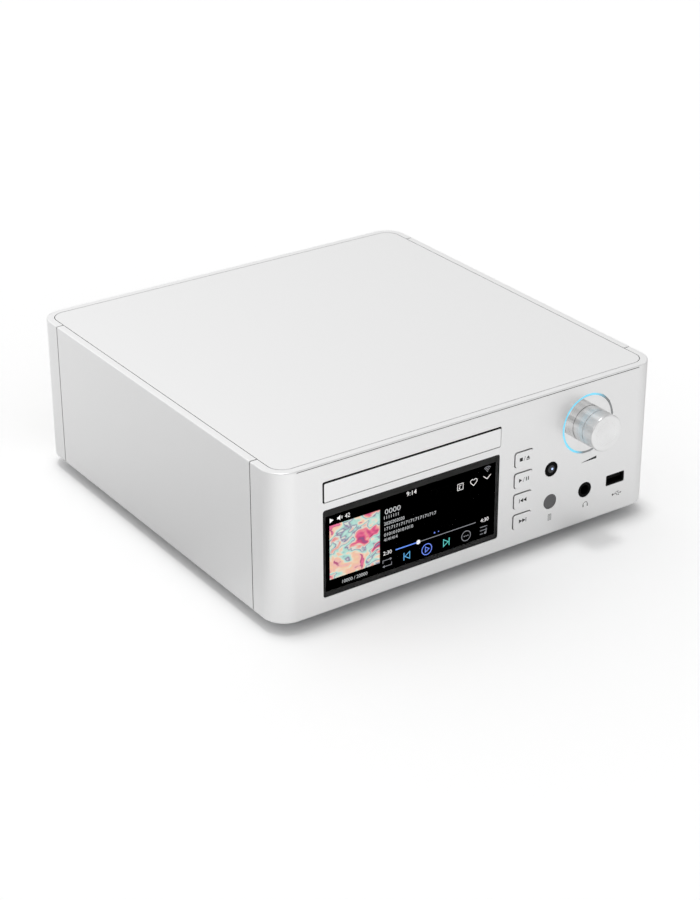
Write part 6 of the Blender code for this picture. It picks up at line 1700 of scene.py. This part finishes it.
@dataclass
class FrontFittings:
    """The indicator, the remote receiver, the headphone and data sockets, and their printed icons."""

    front: float = -138.9
    indicator: Spot = (60.4, 54.5)
    remote: Spot = (60.4, 31.5)
    jack: Spot = (89.0, 31.5)
    port: Spot = (114.4, 32.2)
    lens: float = 4.8
    flange_start: float = 4.3
    flange_end: float = 5.5
    flange: float = 6.0

    def build(self) -> None:
        """Builds the four fittings and prints the icons."""
        self.indicator_lens()
        self.remote_window()
        self.headphone_jack()
        self.data_port()
        self.icons()

    def lens_shape(self, name: str, place: Spot) -> bpy.types.Object:
        """A flush round lens with its flange behind the front."""
        centre = Vector((place[0], self.front, place[1])) * MM
        profile = [(0, 0), (self.lens - 0.15, 0), (self.lens, 0.15), (self.lens, self.flange_start)]
        profile += [(self.flange, self.flange_start), (self.flange, self.flange_end), (0, self.flange_end)]
        return smooth(turned(name, profile, centre, steps=64))

    def indicator_lens(self) -> None:
        """A black bezel round a smoked lens, with the lit dot beside its middle."""
        bezel = self.lens_shape("indicator_bezel", self.indicator)
        fitted(bezel, DEEP_PLASTIC, replaced=["indicator_lens"])
        centre = Vector((self.indicator[0], self.front, self.indicator[1])) * MM
        profile = [(0, -0.03), (2.6, -0.02), (2.8, 0.1), (0, 0.1)]
        lens = smooth(turned("indicator_smoked_lens", profile, centre, steps=48))
        fitted(lens, INDICATOR_GLASS)
        plane = MarkPlane(self.front - 0.03, 0.02, STATUS_LIGHT, "indicator_glass")
        plane.lay("indicator_lit_dot", [plane.dot(self.indicator[0] + 0.8, self.indicator[1], 0.75)])

    def remote_window(self) -> None:
        """The flat grey window of the remote receiver."""
        window = self.lens_shape("remote_receiver_window", self.remote)
        fitted(window, REMOTE_FILTER, replaced=["remote_window"])

    def headphone_jack(self) -> None:
        """A socket body with a smooth round nose."""
        x, z = self.jack
        low, high = (x - 7.5, self.front + 4.3, z - 6.5), (x + 7.5, self.front + 28.3, z + 6.5)
        body = block("headphone_socket", *span(low, high))
        carve(body, drum("nose", self.jack, 5.0, self.front, self.front + 5), Carve.JOIN)
        carve(body, drum("bore", self.jack, 3.3, self.front - 2, self.front + 27.3))
        soften(body, 0.15 * MM, 2)
        fitted(body, DEEP_PLASTIC, replaced=["headphone_jack"])

    def data_port(self) -> None:
        """The data socket: a folded shell with a tongue in it."""
        x, z = self.port
        start = self.front + 0.4
        low, high = (x - 7.3, start, z - 3.4), (x + 7.3, self.front + 20, z + 3.4)
        shell = rounded_block("data_port_shell", *span(low, high), Axis.Y, 0.8 * MM, 4)
        low, high = (x - 8.3, self.front + 4.3, z - 4.4), (x + 8.3, self.front + 5.3, z + 4.4)
        carve(shell, block("flange", *span(low, high)), Carve.JOIN)
        low, high = (x - 6.4, self.front - 2, z - 2.5), (x + 6.4, self.front + 19.1, z + 2.5)
        carve(shell, block("mouth", *span(low, high)))
        soften(shell, 0.08 * MM, 2)
        fitted(shell, DEEP_PLASTIC, replaced=["usb_socket"])
        low, high = (x - 5.6, self.front + 1.6, z + 0.2), (x + 5.6, self.front + 19.2, z + 1.9)
        fitted(block("data_port_tongue", *span(low, high)), DEEP_PLASTIC)

    def icons(self) -> None:
        """Plain icons: a remote, headphones and a three-armed plug."""
        plane = MarkPlane(self.front, 0.02, GREY_INK, "case_aluminium")
        x, z = 60.6, 20.3
        corners = [(x - 1.1, z - 2.0), (x + 1.1, z - 2.0), (x + 1.1, z + 2.0), (x - 1.1, z + 2.0)]
        body = plane.stroke(corners, 0.32, True)
        keys = [plane.bar(x, z + shift, 1.1, 0.35) for shift in (-1.1, -0.3, 0.5)]
        plane.lay("remote_icon", [body, *keys, plane.dot(x, z + 1.25, 0.32)])
        x, z = 90.1, 20.6
        band = plane.curve(x, z, 1.8, 0.4, 180, 0)
        cups = [plane.bar(x + side * 1.75, z - 0.7, 0.8, 1.7) for side in (-1, 1)]
        plane.lay("headphone_icon", [band, *cups])
        x, z = 116.4, 20.7
        stem = plane.bar(x, z, 6.4, 0.32)
        arms = [plane.stroke([(x - 1.6, z), (x - 0.5, z + 1.2), (x + 1.0, z + 1.2)], 0.3)]
        arms.append(plane.stroke([(x - 0.6, z), (x + 0.4, z - 1.2), (x + 1.6, z - 1.2)], 0.3))
        ends = [plane.dot(x - 3.2, z, 0.75), plane.dot(x + 1.2, z + 1.2, 0.45)]
        ends.append(plane.bar(x + 1.9, z - 1.2, 0.8, 0.8))
        ends.append(plane.shape([(x + 3.0, z - 0.7), (x + 3.0, z + 0.7), (x + 4.2, z)]))
        plane.lay("plug_icon", [stem, *arms, *ends])


# Feet and the rear


@dataclass
class Feet:
    """Four turned feet, each with a rubber pad let into its underside."""

    radius: float = 17.0
    waist: float = 13.5
    pad: float = 12.5
    top: float = 8.3
    low: float = 1.2
    places: tuple[tuple[str, float, float], ...] = (
        ("front_left", -109.0, -102.9),
        ("front_right", 109.0, -102.9),
        ("rear_left", -109.0, 117.1),
        ("rear_right", 109.0, 117.1),
    )

    def build(self) -> None:
        """Models one foot and one pad, and copies them to the four corners."""
        neck, pocket = self.top - 1.5, self.low + 1.0
        profile = [(0, self.top), (self.waist, self.top), (self.waist, neck + 0.3), (self.waist + 0.3, neck)]
        profile += [(self.radius - 0.5, neck - 1.5), (self.radius, neck - 2.0), (self.radius, self.low + 0.4)]
        profile += [(self.radius - 0.4, self.low), (self.pad + 0.3, self.low)]
        profile += [(self.pad + 0.3, pocket), (0, pocket)]
        foot = smooth(turned("foot", profile, (0, 0, 0), Axis.Z, 72))
        rubber = [(0, pocket - 0.3), (self.pad, pocket - 0.3), (self.pad, 0.3), (self.pad - 0.3, 0)]
        rubber += [(11.0, 0), (10.8, 0.25), (0, 0.25)]
        pad = smooth(turned("pad", rubber, (0, 0, 0), Axis.Z, 72))
        for name, x, y in self.places:
            shift = (x * MM, y * MM, 0)
            metal = copied(foot, f"turned_foot_{name}", shift)
            fitted(metal, FOOT_METAL, replaced=[f"foot_{name}"])
            sole = copied(pad, f"rubber_sole_{name}", shift)
            fitted(sole, RUBBER, replaced=[f"foot_pad_{name}"])
        discard(foot, pad)


@dataclass
class Screws:
    """Countersunk cross-head screws of the bottom plate and pan heads of the rear panel."""

    head: float = 2.8
    rise: float = 0.9
    slot: float = 0.7
    rear_face: float = 144.8
    rear_places: tuple[Spot, ...] = ((-122, 24), (122, 24), (-122, 92), (122, 92), (-50, 92), (50, 92))
    bottom_face: float = 8.6
    bottom_places: tuple[Spot, ...] = (
        (-128, -60), (128, -60), (-128, 70), (128, 70), (-50, -122), (50, -122), (-50, 136), (50, 136),
    )

    def build(self) -> None:
        """Models one screw of each kind and copies it to its places."""
        model = self.pan_head()
        for index, (x, z) in enumerate(self.rear_places, start=1):
            screw = copied(model, f"rear_screw_{index}", (x * MM, self.rear_face * MM, z * MM))
            fitted(screw, REAR_PAINT)
        discard(model)
        model = self.flat_head()
        for index, (x, y) in enumerate(self.bottom_places, start=1):
            screw = copied(model, f"bottom_screw_{index}", (x * MM, y * MM, self.bottom_face * MM))
            fitted(screw, SHEET_STEEL)
        discard(model)

    def pan_head(self) -> bpy.types.Object:
        """A domed head that faces the back, with a cross cut into it."""
        head, rise = self.head, self.rise
        profile = [(0, -0.5), (head, -0.5), (head, rise * 0.45)]
        profile += [(head * 0.85, rise * 0.85), (head * 0.5, rise), (0, rise)]
        screw = turned("screw", profile, (0, 0, 0), Axis.Y, 32)
        for wide, tall in ((self.slot, head * 1.2), (head * 1.2, self.slot)):
            low, high = (-wide / 2, rise * 0.25, -tall / 2), (wide / 2, 3, tall / 2)
            carve(screw, block("cross", *span(low, high)))
        return smooth(screw)

    def flat_head(self) -> bpy.types.Object:
        """A flat head that faces down, with a cross cut into it."""
        head = self.head
        profile = [(0, 0.4), (head, 0.4), (head, -0.15), (head - 0.2, -0.3), (0, -0.3)]
        screw = turned("screw", profile, (0, 0, 0), Axis.Z, 32)
        for wide, deep in ((self.slot, head * 1.2), (head * 1.2, self.slot)):
            low, high = (-wide / 2, -deep / 2, -2), (wide / 2, deep / 2, 0.2)
            carve(screw, block("cross", *span(low, high)))
        return smooth(screw)


@dataclass
class RearSockets:
    """What the rear sockets carry besides their CAD bodies: barrels, insulators, pins, a tongue and marks."""

    panel: float = 144.8
    row: float = 48.0
    phono_x: tuple[float, ...] = (-103.0, -83.0, -63.0)
    body_low: Point = (-110.0, 130.0, 22.5)
    body_high: Point = (-56.0, 142.0, 55.0)
    pin_x: tuple[float, ...] = (70.75, 77.75, 84.75)
    rocker_x: float = 107.25
    print_ends: Spot = (147.08, 147.12)

    def build(self) -> None:
        """Builds the phono row, the inlet's pins, the data socket's tongue and the printed marks."""
        self.phono()
        self.pins()
        self.tongue()
        self.marks()

    def phono(self) -> None:
        """A moulded body, and for each socket a gold-plated barrel round a coloured insulator."""
        body = block("phono_body", *span(self.body_low, self.body_high))
        for x in self.phono_x:
            carve(body, drum("seat", (x, self.row), 4.25, 141.0, 143.0, 48))
        soften(body, 0.3 * MM, 2)
        fitted(body, SOCKET_PLASTIC, replaced=["phono_sockets"])
        centre = Vector((0, self.panel, self.row)) * MM
        profile = [(2.9, 12.0), (4.0, 12.0), (4.2, 11.8), (4.2, 2.5), (6.0, 2.5)]
        profile += [(6.2, 2.3), (6.2, 0.3), (4.2, 0.3), (4.2, -3.6), (2.9, -3.6)]
        barrel = smooth(turned("barrel", profile, centre, steps=48))
        ring = smooth(turned("ring", [(1.8, 11.6), (2.88, 11.6), (2.88, 3.0), (1.8, 3.0)], centre, steps=32))
        for index, (x, finish) in enumerate(zip(self.phono_x, (BLACK_RING, WHITE_RING, RED_RING)), start=1):
            fitted(copied(barrel, f"phono_barrel_{index}", (x * MM, 0, 0)), BRASS)
            fitted(copied(ring, f"phono_insulator_{index}", (x * MM, 0, 0)), finish)
        discard(barrel, ring)

    def pins(self) -> None:
        """Plated sleeves on the inlet's three pins."""
        pieces = []
        for x, z in zip(self.pin_x, (self.row - 2.0, self.row + 2.0, self.row - 2.0)):
            low, high = (x - 1.05, 122.0, z - 2.05), (x + 1.05, 142.85, z + 2.05)
            pieces.append(soften(block("pin", *span(low, high)), 0.25 * MM, 2))
        fitted(joined("inlet_pins", pieces), BRASS)

    def tongue(self) -> None:
        """The contact tongue in the square data socket."""
        low, high = (-14.0, 131.0, 47.4), (-8.0, 145.6, 49.6)
        fitted(soften(block("data_tongue", *span(low, high)), 0.2 * MM, 2), WHITE_RING)

    def marks(self) -> None:
        """A bar and a ring, for on and off, printed over and under the rocker."""
        x = self.rocker_x
        near, far = (end * MM for end in self.print_ends)
        bar = block("bar", ((x - 0.3) * MM, near, 57.6 * MM), ((x + 0.3) * MM, far, 60.6 * MM))
        ring = arc("ring", (x * MM, 37.0 * MM), 1.3 * MM, 0.55 * MM, near, far)
        fitted(joined("rocker_marks", [bar, ring]), WHITE_RING)


# The rest of the CAD nodes


def dress_rest() -> None:
    """Gives every CAD node that no piece stands for the finish of its slot."""
    for row in frame["record"]["subparts"]:
        node = frame["nodes"][row["node"]]
        dress(node, SLOT_FINISHES[row["material_slot"]])
        LOG.info("%s is dressed as %s", node.name, row["material_slot"])


def main() -> None:
    """Builds the studio and every sub-assembly."""
    logging.basicConfig(level=logging.INFO, format="%(message)s")
    for start_object in [obj for obj in bpy.data.objects if obj.name in ("Cube", "Light", "Camera")]:
        bpy.data.objects.remove(start_object)
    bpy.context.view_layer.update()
    bpy.context.scene.view_settings.view_transform = "Standard"
    dress_rest()
    front = (Display(), TrayFront(), ButtonColumn(), VolumeControl(), FrontFittings())
    for assembly in (Studio(), Case(), *front, Feet(), Screws(), RearSockets()):
        assembly.build()


if __name__ == "__main__":
    main()
